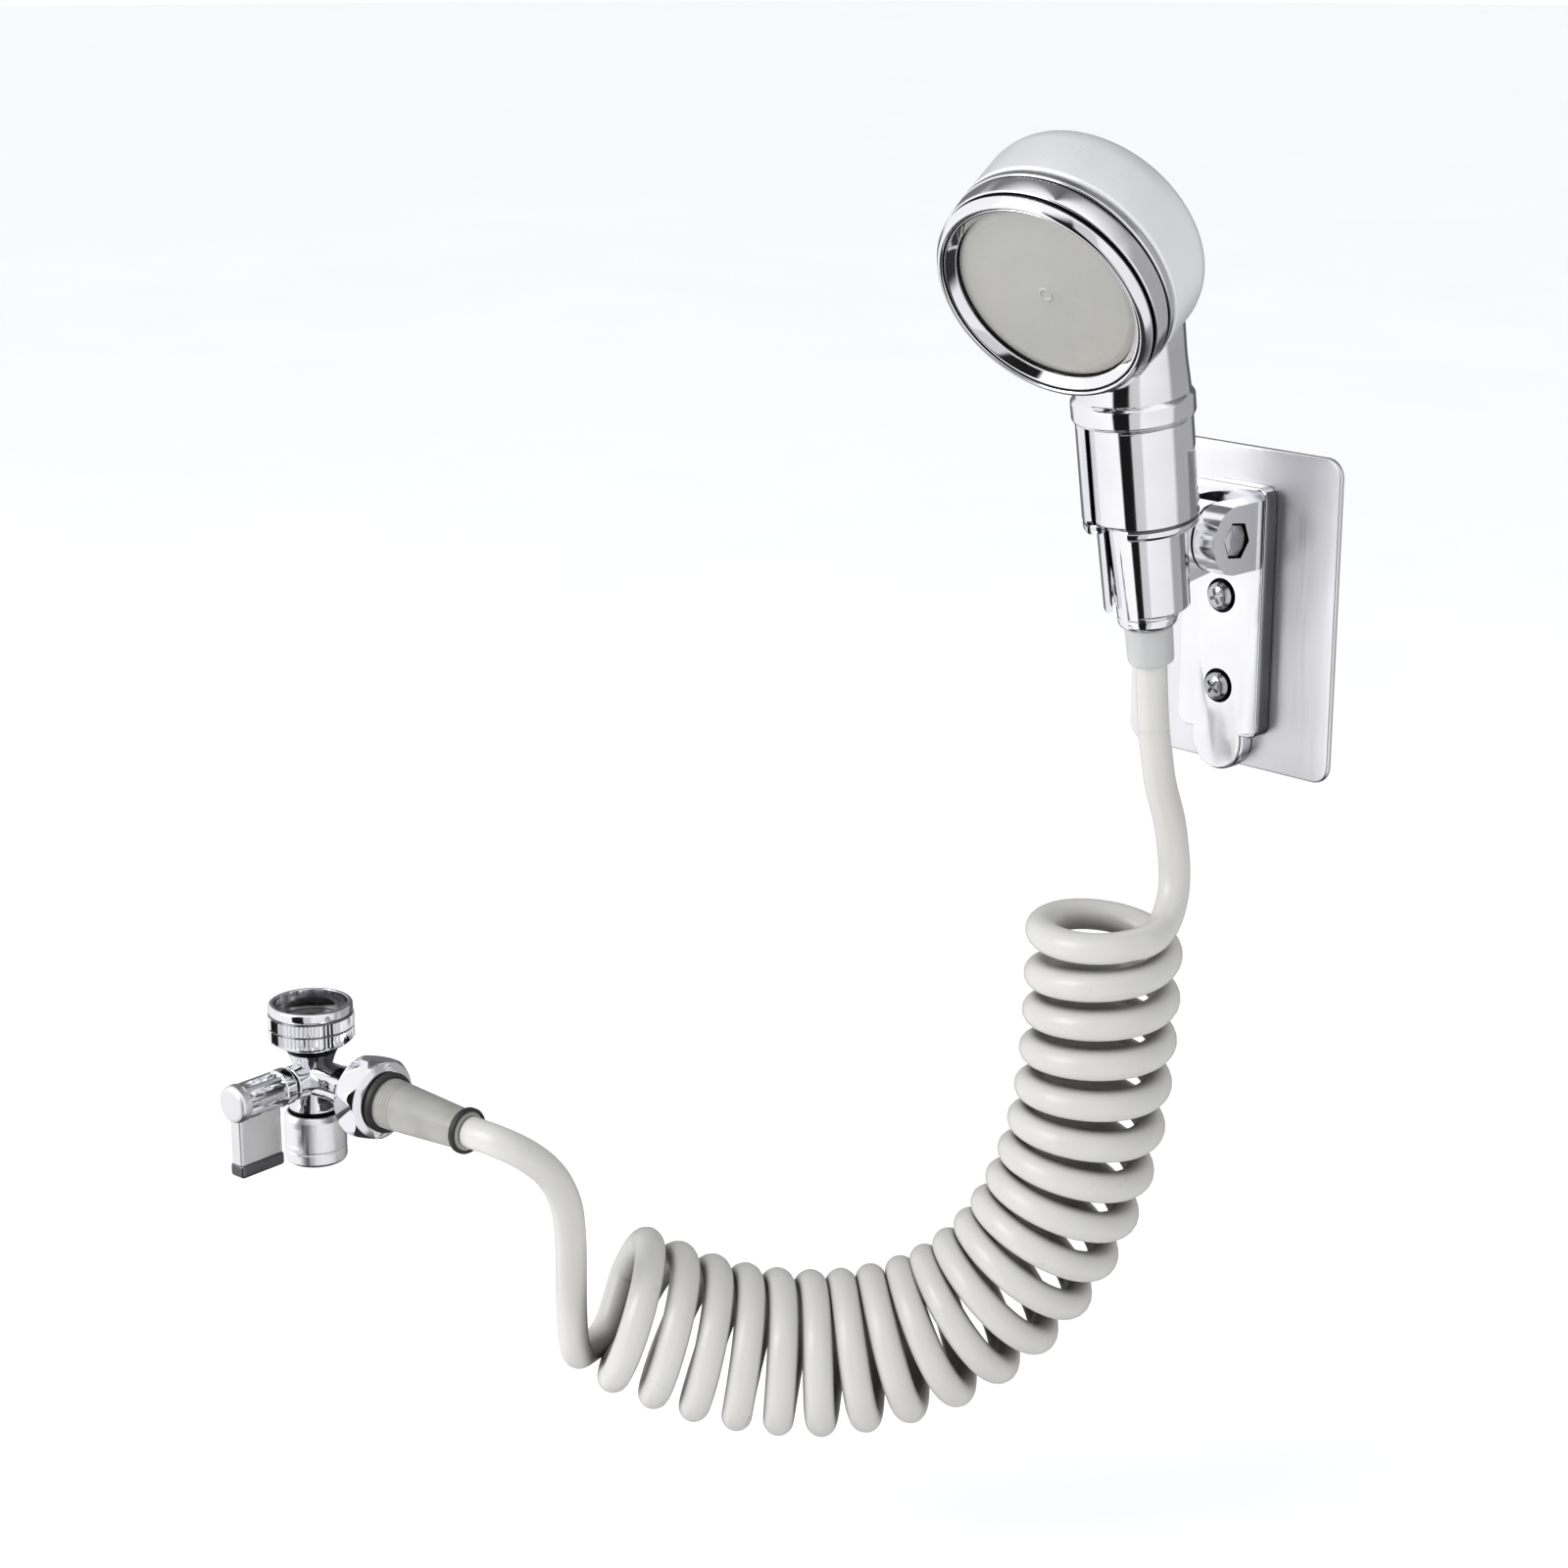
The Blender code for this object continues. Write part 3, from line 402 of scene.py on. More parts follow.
def soften(profile, radius, arc=4, closed=False):
    """Round every corner of a profile, as far as its neighbours leave room."""
    pts = [Vector((r, z)) for r, z in profile]
    out, n = [], len(pts)
    for i, p in enumerate(pts):
        if not closed and i in (0, n - 1):
            out.append(p)
            continue
        a, b = pts[i - 1] - p, pts[(i + 1) % n] - p
        reach = min(radius, a.length * 0.45, b.length * 0.45)
        p0, p2 = p + a.normalized() * reach, p + b.normalized() * reach
        for k in range(arc + 1):
            t = k / arc
            out.append(p0 * (1 - t) ** 2 + p * 2 * t * (1 - t) + p2 * t * t)
    return [(v.x, v.y) for v in out]


def turned(profile, place=None, steps=128, soft=0.25):
    """Solid of revolution about Z from (radius, z) points."""
    closed = profile[0][0] > 0 or profile[-1][0] > 0
    if soft:
        profile = soften(profile, soft, closed=closed)
    bm = bmesh.new()
    rings = []
    for r, z in profile:
        if r < 1e-6:
            rings.append([bm.verts.new((0, 0, z))])
        else:
            rings.append([bm.verts.new((r * math.cos(math.tau * k / steps),
                                        r * math.sin(math.tau * k / steps), z))
                          for k in range(steps)])
    pairs = list(zip(rings, rings[1:]))
    if closed:
        pairs.append((rings[-1], rings[0]))
    for low, high in pairs:
        for k in range(steps):
            n = (k + 1) % steps
            corners = ([low[0]] if len(low) == 1 else [low[k], low[n]])
            corners += ([high[0]] if len(high) == 1 else [high[n], high[k]])
            if len(corners) > 2:
                bm.faces.new(corners)
    if place:
        bm.transform(place)
    return bm


def bar(radius, start, end, sides=64, turn=0.0):
    start, end = Vector(start), Vector(end)
    bm = bmesh.new()
    spin = (end - start).to_track_quat("Z", "Y").to_matrix().to_4x4()
    place = Matrix.Translation((start + end) / 2) @ spin @ Matrix.Rotation(turn, 4, "Z")
    bmesh.ops.create_cone(bm, cap_ends=True, segments=sides, radius1=radius, radius2=radius,
                          depth=(end - start).length, matrix=place)
    return bm


def block(low, high, bevel=0.0):
    bm = bmesh.new()
    bmesh.ops.create_cube(bm, size=1.0)
    bmesh.ops.scale(bm, vec=[h - l for l, h in zip(low, high)], verts=bm.verts)
    bmesh.ops.translate(bm, vec=[(h + l) / 2 for l, h in zip(low, high)], verts=bm.verts)
    if bevel:
        bmesh.ops.bevel(bm, geom=bm.edges[:], offset=bevel, segments=4, profile=0.5,
                        affect="EDGES")
    return bm


def slab(outline, y_back, y_front, bevel):
    """Flat plate from an XZ outline, with its front edge rounded."""
    bm = bmesh.new()
    face = bm.faces.new([bm.verts.new((x, y_back, z)) for x, z in outline])
    grown = bmesh.ops.extrude_face_region(bm, geom=[face])
    moved = [v for v in grown["geom"] if isinstance(v, bmesh.types.BMVert)]
    bmesh.ops.translate(bm, vec=(0, y_front - y_back, 0), verts=moved)
    rim = [e for e in bm.edges if all(v in moved for v in e.verts)]
    bmesh.ops.bevel(bm, geom=rim, offset=bevel, segments=4, profile=0.5, affect="EDGES")
    return bm


def arc_points(cx, cz, radius, start, stop, count):
    angles = [math.radians(start + (stop - start) * k / count) for k in range(count + 1)]
    return [(cx + radius * math.cos(a), cz + radius * math.sin(a)) for a in angles]


def rounded_rect(half_w, half_h, radius, per_corner=12):
    x, z = half_w - radius, half_h - radius
    return [p for cx, cz, a in ((x, z, 0), (-x, z, 90), (-x, -z, 180), (x, -z, 270))
            for p in arc_points(cx, cz, radius, a, a + 90, per_corner)]


def temporary(bm):
    mesh = bpy.data.meshes.new("work")
    bmesh.ops.recalc_face_normals(bm, faces=bm.faces)
    bm.to_mesh(mesh)
    bm.free()
    obj = bpy.data.objects.new("work", mesh)
    bpy.context.scene.collection.objects.link(obj)
    return obj


def carve(bm, tools, operation="DIFFERENCE"):
    """Boolean of one solid with others in the same frame."""
    work = temporary(bm)
    others = [temporary(tool) for tool in tools]
    for other in others:
        mod = work.modifiers.new("carve", "BOOLEAN")
        mod.operation = operation
        mod.solver = "EXACT"
        mod.object = other
    graph = bpy.context.evaluated_depsgraph_get()
    made = bpy.data.meshes.new_from_object(work.evaluated_get(graph))
    out = bmesh.new()
    out.from_mesh(made)
    for obj in (work, *others):
        bpy.data.objects.remove(obj, do_unlink=True)
    bpy.data.meshes.remove(made)
    return out


def piece(name, bm, place, mat, body, nodes=(), edge=0.0, sharp=32, marks=()):
    """Finished piece: placed, shaded, riding on its body and standing for its CAD nodes.

    marks are (material, test) pairs; faces whose centre and normal pass the test, in the
    piece's own millimetres, take that material.
    """
    bmesh.ops.remove_doubles(bm, verts=bm.verts, dist=0.0005)
    bmesh.ops.recalc_face_normals(bm, faces=bm.faces)
    for k, (_, test) in enumerate(marks):
        for face in bm.faces:
            if test(face.calc_center_median(), face.normal):
                face.material_index = k + 1
    bm.transform(place)
    mesh = bpy.data.meshes.new(name)
    bm.to_mesh(mesh)
    bm.free()
    mesh.shade_smooth()
    mesh.set_sharp_from_angle(angle=math.radians(sharp))
    for material in (mat, *(m for m, _ in marks)):
        mesh.materials.append(material)
    obj = bpy.data.objects.new(name, mesh)
    bpy.context.scene.collection.objects.link(obj)
    if edge:
        round_edges(obj, edge)
    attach(obj, body)
    if nodes:
        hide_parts(*nodes)
    return obj


def round_edges(obj, width):
    mod = obj.modifiers.new("edges", "BEVEL")
    mod.width = width * MM
    mod.segments = 2
    mod.limit_method = "ANGLE"
    mod.angle_limit = math.radians(34)
    mod.harden_normals = True
    mod.use_clamp_overlap = True


def dress(mat, *nodes):
    """Give carried-over CAD nodes a detailed material."""
    for name in nodes:
        data = frame["nodes"][name].data
        data.materials.clear()
        data.materials.append(mat)


# ------------------------------------------------------------------ hose

# Route of the hose in metres: short lead under the sprayer, free drop, line that the turns
# are wound about, and tail up to the valve's sleeve.
LEAD = [(0.0, -0.0384, -0.01135), (0.0, -0.0379, -0.0180), (0.0007, -0.0379, -0.0255),
        (0.0014, -0.0380, -0.0310)]
DROP = [(0.0014, -0.0380, -0.0310), (0.0022, -0.0374, -0.0380), (0.0033, -0.0366, -0.0469),
        (0.0053, -0.0345, -0.0578), (0.0060, -0.0331, -0.0672), (0.0064, -0.0326, -0.0747),
        (0.0077, -0.0349, -0.0813), (0.0096, -0.0409, -0.0873)]
COIL = [(-0.0072, -0.0474, -0.0811), (-0.0071, -0.0473, -0.0907), (-0.0072, -0.0475, -0.1020),
        (-0.0074, -0.0476, -0.1141), (-0.0078, -0.0481, -0.1265), (-0.0085, -0.0489, -0.1392),
        (-0.0097, -0.0502, -0.1517), (-0.0116, -0.0523, -0.1638), (-0.0142, -0.0552, -0.1753),
        (-0.0177, -0.0590, -0.1863), (-0.0221, -0.0639, -0.1966), (-0.0276, -0.0700, -0.2057),
        (-0.0339, -0.0769, -0.2132), (-0.0409, -0.0846, -0.2189), (-0.0485, -0.0929, -0.2226),
        (-0.0561, -0.1013, -0.2247), (-0.0637, -0.1096, -0.2254), (-0.0713, -0.1180, -0.2247),
        (-0.0789, -0.1264, -0.2229), (-0.0864, -0.1346, -0.2198), (-0.0938, -0.1428, -0.2155),
        (-0.1012, -0.1508, -0.2103), (-0.1034, -0.1532, -0.2088)]
TAIL = [(-0.1140, -0.1590, -0.2258), (-0.1099, -0.1642, -0.2238), (-0.1077, -0.1674, -0.2192),
        (-0.1073, -0.1685, -0.2133), (-0.1058, -0.1699, -0.2010), (-0.1000, -0.1746, -0.1875),
        (-0.0939, -0.1799, -0.1739), (-0.0886, -0.1859, -0.1606), (-0.0861, -0.1933, -0.1491),
        (-0.0871, -0.2009, -0.1415), (-0.0907, -0.2067, -0.1373), (-0.0965, -0.2080, -0.1368),
        (-0.10246, -0.20856, -0.1368)]


def spline(a, b, c, d, t):
    """Catmull-Rom value at share t of the way from b to c."""
    return 0.5 * (2 * b + (c - a) * t + (2 * a - 5 * b + 4 * c - d) * t * t
                  + (3 * b - a - 3 * c + d) * t ** 3)


def with_ends(knots):
    """Knots as vectors, with one more past each end."""
    pts = [Vector(k) for k in knots]
    return [2 * pts[0] - pts[1]] + pts + [2 * pts[-1] - pts[-2]]


def ramp_between(steps, at):
    """Value at a place on a line of (place, value) steps."""
    for (a, low), (b, high) in zip(steps, steps[1:]):
        if at <= b:
            return low + (high - low) * max(0.0, (at - a) / (b - a))
    return steps[-1][1]


def line_at(turn):
    """Point of the coil's line at a turn; the knots stand one turn apart from turn -0.75."""
    i = min(len(COIL) - 2, int(turn + 0.75))
    return spline(*with_ends(COIL)[i:i + 4], turn + 0.75 - i)


def curve_through(knots, step):
    """Evenly spaced points on a smooth curve through the knots."""
    pts = with_ends(knots)
    parts = 24
    fine = [spline(a, b, c, d, k / parts)
            for a, b, c, d in zip(pts, pts[1:], pts[2:], pts[3:]) for k in range(parts)]
    fine.append(pts[-2])
    run = [0.0]
    for p, q in zip(fine, fine[1:]):
        run.append(run[-1] + (q - p).length)
    count = max(2, round(run[-1] / step))
    out, j = [], 0
    for k in range(count + 1):
        want = run[-1] * k / count
        while j < len(run) - 2 and run[j + 1] < want:
            j += 1
        out.append(fine[j].lerp(fine[j + 1], (want - run[j]) / (run[j + 1] - run[j])))
    return out


def coil_path():
    """Right-handed turns about the coil's line, from the picture's right towards the camera.

    The first turn is lifted so that it lies flat.
    """
    toward = Vector((math.sin(CAM_TURN) * math.cos(CAM_PITCH),
                     -math.cos(CAM_TURN) * math.cos(CAM_PITCH), math.sin(CAM_PITCH)))
    count = round((LAST_TURN - FIRST_TURN) * STEPS_A_TURN)
    out = []
    for k in range(count + 1):
        turn = FIRST_TURN + (LAST_TURN - FIRST_TURN) * k / count
        along = (line_at(turn + 0.01) - line_at(turn - 0.01)).normalized()
        front = (toward - along * toward.dot(along)).normalized()
        lean = math.tan(math.radians(ramp_between(COIL_LEAN, turn)))
        right = front.cross(along) + along * lean
        radius = MM * ramp_between(list(zip(COIL_GROWS, COIL_R)), turn)
        angle = math.tau * turn
        lift = FLAT_LIFT * math.sin(math.pi * (turn - 0.25)) ** 2 if 0.25 < turn < 1.25 else 0.0
        out.append(line_at(turn) + Vector((0, 0, lift))
                   + radius * (math.cos(angle) * right + math.sin(angle) * front))
    return out


def relaxed(points, rounds):
    """The same line with tight corners eased; its ends stay."""
    for _ in range(rounds):
        points = ([points[0]] + [0.25 * a + 0.5 * b + 0.25 * c
                                 for a, b, c in zip(points, points[1:], points[2:])]
                  + [points[-1]])
    return points


THIN = 0.93                           # the lead's tip, pushed into the hose, against the hose
TIP_DEPTHS = (0.0003, 0.0015, 0.003)
HOSE_STEP = 0.0018                    # between rings where the hose isn't coiled
SHORTEST = 0.0004                     # between any two rings
EASE_IN, EASE_OUT = 3, 7              # steps of the first and last turn left to the curves there
CAP_ANGLE = math.radians(50)


def headings(points):
    """Direction of a path at each of its points."""
    return [(points[min(i + 1, len(points) - 1)] - points[max(i - 1, 0)]).normalized()
            for i in range(len(points))]


def tube(points, ways, radius, sides=RING_SIDES, thin_end=0):
    """Closed round tube in metres along a dense path; its last rings may be thinner."""
    bm = bmesh.new()
    side = Vector((1, 0, 0))
    rings = []
    for i, (p, along) in enumerate(zip(points, ways)):
        side = (side - along * side.dot(along)).normalized()
        up = along.cross(side)
        reach = radius * (THIN if i >= len(points) - thin_end else 1.0)
        rings.append([bm.verts.new(p + reach * (math.cos(math.tau * k / sides) * side
                                                 + math.sin(math.tau * k / sides) * up))
                      for k in range(sides)])
    for low, high in zip(rings, rings[1:]):
        for k in range(sides):
            n = (k + 1) % sides
            bm.faces.new((low[k], low[n], high[n], high[k]))
    bm.faces.new(rings[0][::-1])
    bm.faces.new(rings[-1])
    return bm


def blended_tube(name, points, ways, nodes, thin_end=0):
    """Length of hose made as one tube, baked into place, standing for its CAD nodes."""
    bm = tube(points, ways, TUBE_R * MM, thin_end=thin_end)
    mesh = bpy.data.meshes.new(name)
    bmesh.ops.recalc_face_normals(bm, faces=bm.faces)
    bm.to_mesh(mesh)
    bm.free()
    mesh.shade_smooth()
    mesh.set_sharp_from_angle(angle=CAP_ANGLE)
    mesh.materials.append(HOSE)
    obj = bpy.data.objects.new(name, mesh)
    bpy.context.scene.collection.objects.link(obj)
    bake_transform(obj)
    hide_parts(*nodes)
    return obj


def hose():
    """The whole hose on one path, in two lengths: the short lead and the rest of the hose."""
    turns = coil_path()
    start = curve_through(LEAD + DROP[1:] + [turns[0], turns[EASE_IN]], HOSE_STEP)
    tail = curve_through([turns[-EASE_OUT], turns[-1]] + TAIL, HOSE_STEP)
    joined = start[:-1] + turns[EASE_IN:-EASE_OUT] + relaxed(tail, 8)
    whole = [p for p, q in zip(joined, joined[1:]) if (q - p).length > SHORTEST] + [joined[-1]]
    ways = headings(whole)
    split = min(range(len(start)), key=lambda i: (whole[i] - Vector(DROP[0])).length)
    joint = whole[split]
    tip = [joint + depth * ways[split] for depth in TIP_DEPTHS]
    lead = blended_tube("hose_lead_tube", whole[:split + 1] + tip,
                        ways[:split + 1] + [ways[split]] * len(tip),
                        ["hose_lead"], len(tip))
    path = whole[split:]
    body = blended_tube("hose_tube", path, ways[split:],
                        ["hose_drop", "hose_coil", "hose_tail"])


# ------------------------------------------------------------------ wall bracket

BASE_HALF, BASE_TOP, BASE_LOW = 15.2, 37.0, -37.5
BASE_BACK, BASE_FRONT = -3.0, -7.6
LOBE_R, LOBE_Z = 9.4, -39.4
SCREW_Z = (3.6, -23.4)
SCREW_TURNS = (24, -38)               # degrees that each cross recess stands off upright
EAR_IN, EAR_OUT, EAR_R = 5.6, 13.4, 10.0
HEX_R, HEX_POCKET_R = 5.0, 5.8        # pivot's head and nut, and the pockets they sit in
HEX_TURN = math.radians(22)


def wall_plate():
    bm = slab(rounded_rect(37.0, 47.5, 5.5), -1.2, -2.7, 0.7)
    piece("wall_plate_satin", bm, WORLD, SATIN_PLATE, "root", ["wall_plate"])
    bm = slab(rounded_rect(35.5, 46.0, 4.5), 0.0, -0.9, 0.15)
    piece("adhesive_foam", bm, WORLD, FOAM, "root", ["adhesive_pad"])


def base_outline():
    corner, half = 4.0, BASE_HALF - 4.0
    lobe = math.degrees(math.asin(min(1.0, (BASE_LOW - LOBE_Z) / LOBE_R)))
    return (arc_points(half, BASE_TOP - corner, corner, 0, 90, 10)
            + arc_points(-half, BASE_TOP - corner, corner, 90, 180, 10)
            + arc_points(-half, BASE_LOW + corner, corner, 180, 262, 8)
            + arc_points(0, LOBE_Z, LOBE_R, 180 - lobe, 360 + lobe, 32)
            + arc_points(half, BASE_LOW + corner, corner, 278, 360, 8))


def holder_base():
    bm = slab(base_outline(), BASE_BACK, BASE_FRONT, 1.1)
    ears = []
    for side in (1, -1):
        x0, x1 = sorted((side * EAR_IN, side * EAR_OUT))
        ears.append(bar(EAR_R, (x0, PIVOT.y, PIVOT.z), (x1, PIVOT.y, PIVOT.z), 96))
        ears.append(block((x0, PIVOT.y, PIVOT.z - EAR_R), (x1, BASE_FRONT + 1.5, PIVOT.z + EAR_R)))
    bm = carve(bm, ears, "UNION")
    cuts = [bar(3.2, (-20, PIVOT.y, PIVOT.z), (20, PIVOT.y, PIVOT.z), 48),
            bar(HEX_POCKET_R, (10.4, PIVOT.y, PIVOT.z), (20, PIVOT.y, PIVOT.z), 6, HEX_TURN),
            bar(HEX_POCKET_R, (-10.4, PIVOT.y, PIVOT.z), (-20, PIVOT.y, PIVOT.z), 6, HEX_TURN)]
    cuts += [turned([(0, 4.0), (5.1, 4.0), (5.1, -0.5), (4.6, -1.0), (2.3, -1.0), (2.3, -12),
                     (0, -12)], Matrix.Translation((0, BASE_FRONT, z)) @ ALONG_MINUS_Y, 64)
             for z in SCREW_Z]
    bm = carve(bm, cuts)

    # Painted shade: the base's side faces take dark plating, as if in the shadow of the gap beside
    # them.
    def flank(at, normal):
        return abs(normal.x) > 0.7 and abs(at.x) > EAR_OUT + 0.8

    # Painted shade: the screw counterbores and the hex pockets take near-black plating.
    def recess(at, normal):
        near = min(math.hypot(at.x, at.z - z) for z in SCREW_Z)
        bolt = math.hypot(at.y - PIVOT.y, at.z - PIVOT.z)
        return ((near < 5.2 and at.y > BASE_FRONT + 0.05)
                or (bolt < HEX_POCKET_R + 0.1 and abs(at.x) < 13.2))

    piece("holder_base_shell", bm, WORLD, BASE_CHROME, "root", ["holder_base"],
          edge=0.35, marks=[(PAINTED_SHADE, flank), (PAINTED_DEEP_SHADE, recess)])


def base_screws():
    profile = [(0, 2.45), (1.6, 2.4), (3.1, 1.9), (3.9, 1.1), (4.1, 0.2), (4.1, -0.7), (2.0, -0.7),
               (2.0, -5.0), (0, -5.8)]
    for name, z, degrees in zip(("upper", "lower"), SCREW_Z, SCREW_TURNS):
        place = Matrix.Translation((0, BASE_FRONT - 0.25, z)) @ ALONG_MINUS_Y
        tilt = Matrix.Rotation(math.radians(degrees), 4, "Z")
        cross = [block((-2.4, -0.5, 1.0), (2.4, 0.5, 4)), block((-0.5, -2.4, 1.0), (0.5, 2.4, 4))]
        bm = carve(turned(profile, soft=0.3, steps=64), cross)
        piece(f"base_screw_{name}_head", bm, WORLD @ place @ tilt, SCREW_STEEL, "root",
              [f"base_screw_{name}"], edge=0.08)


def pivot():
    """Cross bolt with a hexagon head, and its nut, both sunk in the ears."""
    at = Matrix.Translation((0, PIVOT.y, PIVOT.z))
    head = carve(bar(HEX_R, (10.5, 0, 0), (13.5, 0, 0), 6, HEX_TURN),
                 [turned([(0, 13.5), (3.0, 13.4), (5.2, 12.7), (5.2, 9.0), (0, 9.0)], ALONG_X,
                         steps=72)], "INTERSECT")
    bolt = carve(head, [bar(2.9, (-12.6, 0, 0), (11.0, 0, 0), 48)], "UNION")
    piece("pivot_bolt_head", bolt, WORLD @ at, SCREW_STEEL, "root",
          ["pivot_bolt"], edge=0.2)
    nut = carve(bar(HEX_R, (-13.5, 0, 0), (-10.9, 0, 0), 6, HEX_TURN),
                [bar(3.1, (-18, 0, 0), (-8, 0, 0), 48)])
    piece("pivot_nut_hex", nut, WORLD @ at, SCREW_STEEL, "root", ["pivot_nut"],
          edge=0.25)


def holder_jaw():
    top, ledge, floor_z, low = 42.0, 10.5, 12.6, -14.0
    profile = [(15.9, top), (16.5, top - 0.6), (16.5, ledge + 3.3), (15.95, ledge + 3.0),
               (15.95, ledge + 2.5), (16.4, ledge + 2.2), (16.4, ledge + 0.9), (15.7, ledge),
               (12.7, ledge - 0.4), (12.3, low + 0.6), (11.7, low), (10.0, low), (10.4, floor_z),
               (14.2, floor_z), (14.2, top)]
    axis = Matrix.Translation((0, -AXIS_OUT, 0))
    bm = turned(profile, axis, steps=144, soft=0.35)
    bm = carve(bm, [bar(EAR_R, (-5.2, 0, 0), (5.2, 0, 0), 96),
                    block((-5.2, -13.4, -EAR_R), (5.2, 0, EAR_R))], "UNION")
    y0, y1 = -AXIS_OUT - 20, -AXIS_OUT - 4
    bm = carve(bm, [bar(3.2, (-9, 0, 0), (9, 0, 0), 48),
                    block((-7.2, y0, floor_z - 2.6), (7.2, y1, 50)),
                    block((-5.9, y0, -20), (5.9, y1, floor_z - 1))])

    # Painted shade: dark plating in the groove round the jaw.
    def groove(at, normal):
        out = math.hypot(at.x, at.y + AXIS_OUT)
        return 15.8 < out < 16.3 and ledge + 2.2 < at.z < ledge + 3.3

    piece("holder_jaw_cup", bm, JAW, CHROME, "jaw", ["holder_jaw"], edge=0.25,
          marks=[(PAINTED_SHADE, groove)])


# ------------------------------------------------------------------ sprayer

DRUM_R, SEAM_Z = 33.5, 19.3


def rear_drum():
    dome = [(0, -8.6), (9, -8.3), (17, -7.2), (24, -5.2), (29.5, -2.2), (32.4, 0.8),
            (DRUM_R, 4.2), (DRUM_R - 0.1, SEAM_Z - 0.6), (DRUM_R - 0.6, SEAM_Z),
            (29.6, SEAM_Z), (29.6, 25.5), (0, 25.5)]
    bm = turned(soften(dome, 3.0, 4), soft=0, steps=160)
    piece("rear_drum", bm, HEAD, PEARL, "sprayer", ["rear_shell"])


def neck():
    """Elbow from the collar up into the drum, lofted through tilted rings."""
    stations = [(0.0, 46.0, 16.6, 0), (0.4, 53.0, 16.0, -3), (1.2, 59.0, 15.2, -3),
                (1.5, 66.0, 15.0, 2), (0.9, 73.0, 15.2, 8), (-1.6, 80.5, 15.2, 15),
                (-5.0, 87.5, 14.2, 24), (-9.0, 93.5, 12.0, 36), (-13.0, 97.0, 9.0, 48)]
    sides, between_rings = 96, 6
    bm, rings = bmesh.new(), []
    ends = [stations[0]] + stations + [stations[-1]]
    rows = []
    for a, b, c, d in zip(ends, ends[1:], ends[2:], ends[3:]):
        for k in range(between_rings):
            t = k / between_rings
            rows.append([spline(*values, t) for values in zip(a, b, c, d)])
    rows.append(stations[-1])
    for y, z, radius, lean in rows:
        tilt = Matrix.Rotation(math.radians(lean), 3, "X")
        rings.append([bm.verts.new(Vector((0, y, z)) + tilt @ Vector(
            (math.cos(math.tau * k / sides), math.sin(math.tau * k / sides), 0)) * radius)
            for k in range(sides)])
    for low, high in zip(rings, rings[1:]):
        for k in range(sides):
            n = (k + 1) % sides
            bm.faces.new((low[k], low[n], high[n], high[k]))
    bm.faces.new(rings[0][::-1])
    bm.faces.new(rings[-1])
    piece("neck_elbow", bm, SPRAYER, CHROME_CAST, "sprayer", ["rear_shell"])


def collar():
    bm = turned([(0, 49.4), (16.2, 49.4), (16.9, 48.6), (17.4, 47.8), (17.4, 43.2), (17.1, 42.9),
                 (17.1, 42.6), (16.8, 42.3), (11.4, 42.3), (11.4, 48.0), (0, 48.0)], steps=144)
    piece("neck_collar", bm, SPRAYER, CHROME, "sprayer", ["rear_shell"])


def handle_sleeve():
    bm = turned([(5.6, 47.5), (10.6, 47.5), (11.0, 47.1), (11.0, 42.0), (13.2, 42.0), (13.7, 41.5),
                 (13.7, 13.6), (13.1, 13.0), (8.0, 13.0), (8.0, 2.6), (7.6, 2.2), (5.0, 2.2),
                 (5.0, 47.0)], steps=96)
    piece("handle_sleeve_tube", bm, SPRAYER, CHROME, "sprayer",
          ["handle_sleeve"])


def bezel():
    """Screwed front ring: rear bead, tall side band, groove, front lip and flared inner lip."""
    profile = [(33.0, 20.0), (33.3, 20.3), (33.3, 21.9), (33.0, 22.2), (32.5, 22.3), (32.5, 22.9),
               (33.1, 23.1), (33.2, 23.6), (32.9, 28.6), (32.6, 28.9), (31.7, 29.0), (31.7, 30.0),
               (32.4, 30.1), (32.5, 30.6), (31.2, 32.5), (30.6, 32.9), (30.1, 32.9), (29.8, 32.6),
               (29.7, 32.1), (29.4, 32.1), (29.2, 32.3), (28.8, 32.2), (26.9, 30.2), (26.9, 29.6),
               (30.0, 29.6), (30.0, 20.0)]
    bm = turned(profile, soft=0.3, steps=192)

    # Painted shade: near-black plating in the grooves behind the front lip and inside the inner lip.
    def groove(at, normal):
        r = math.hypot(at.x, at.y)
        return ((r < 33.0 and 22.2 < at.z < 23.0) or (31.0 < r < 32.5 and 28.9 < at.z < 30.1)
                or (29.35 < r < 29.8 and at.z > 31.9))

    piece("bezel_ring_polished", bm, HEAD, CHROME, "bezel", ["bezel_ring"],
          marks=[(PAINTED_DEEP_SHADE, groove)])


def spray_plate_metal():
    """Satin plate: a fine grain, with warm patches on a cool grey."""
    mat, tree, shader = new_material("spray_plate_satin")
    shader.inputs["Metallic"].default_value = 0.5
    cool = (0.54, 0.545, 0.515)
    warm = (0.63, 0.555, 0.515)
    tree.links.new(between(tree, noise(tree, 38, detail=1), cool, warm, 0.5, 0.95),
                   shader.inputs["Base Color"])
    tree.links.new(between(tree, noise(tree, 420, detail=4), 0.40, 0.55),
                   shader.inputs["Roughness"])
    bump(tree, shader, (noise(tree, 900, detail=3), 0.000006))
    return mat


def spray_plate():
    """Slightly crowned plate with a small raised ring at its middle."""
    bm = turned([(0, 29.25), (1.3, 29.25), (1.6, 29.45), (1.9, 29.45), (2.2, 29.25), (14, 29.2),
                 (24.5, 28.9), (26.7, 28.6), (26.7, 27.6), (0, 27.6)], steps=128, soft=0.15)
    piece("spray_plate_disc", bm, HEAD, spray_plate_metal(), "sprayer",
          ["spray_plate"])


# ------------------------------------------------------------------ hose ends

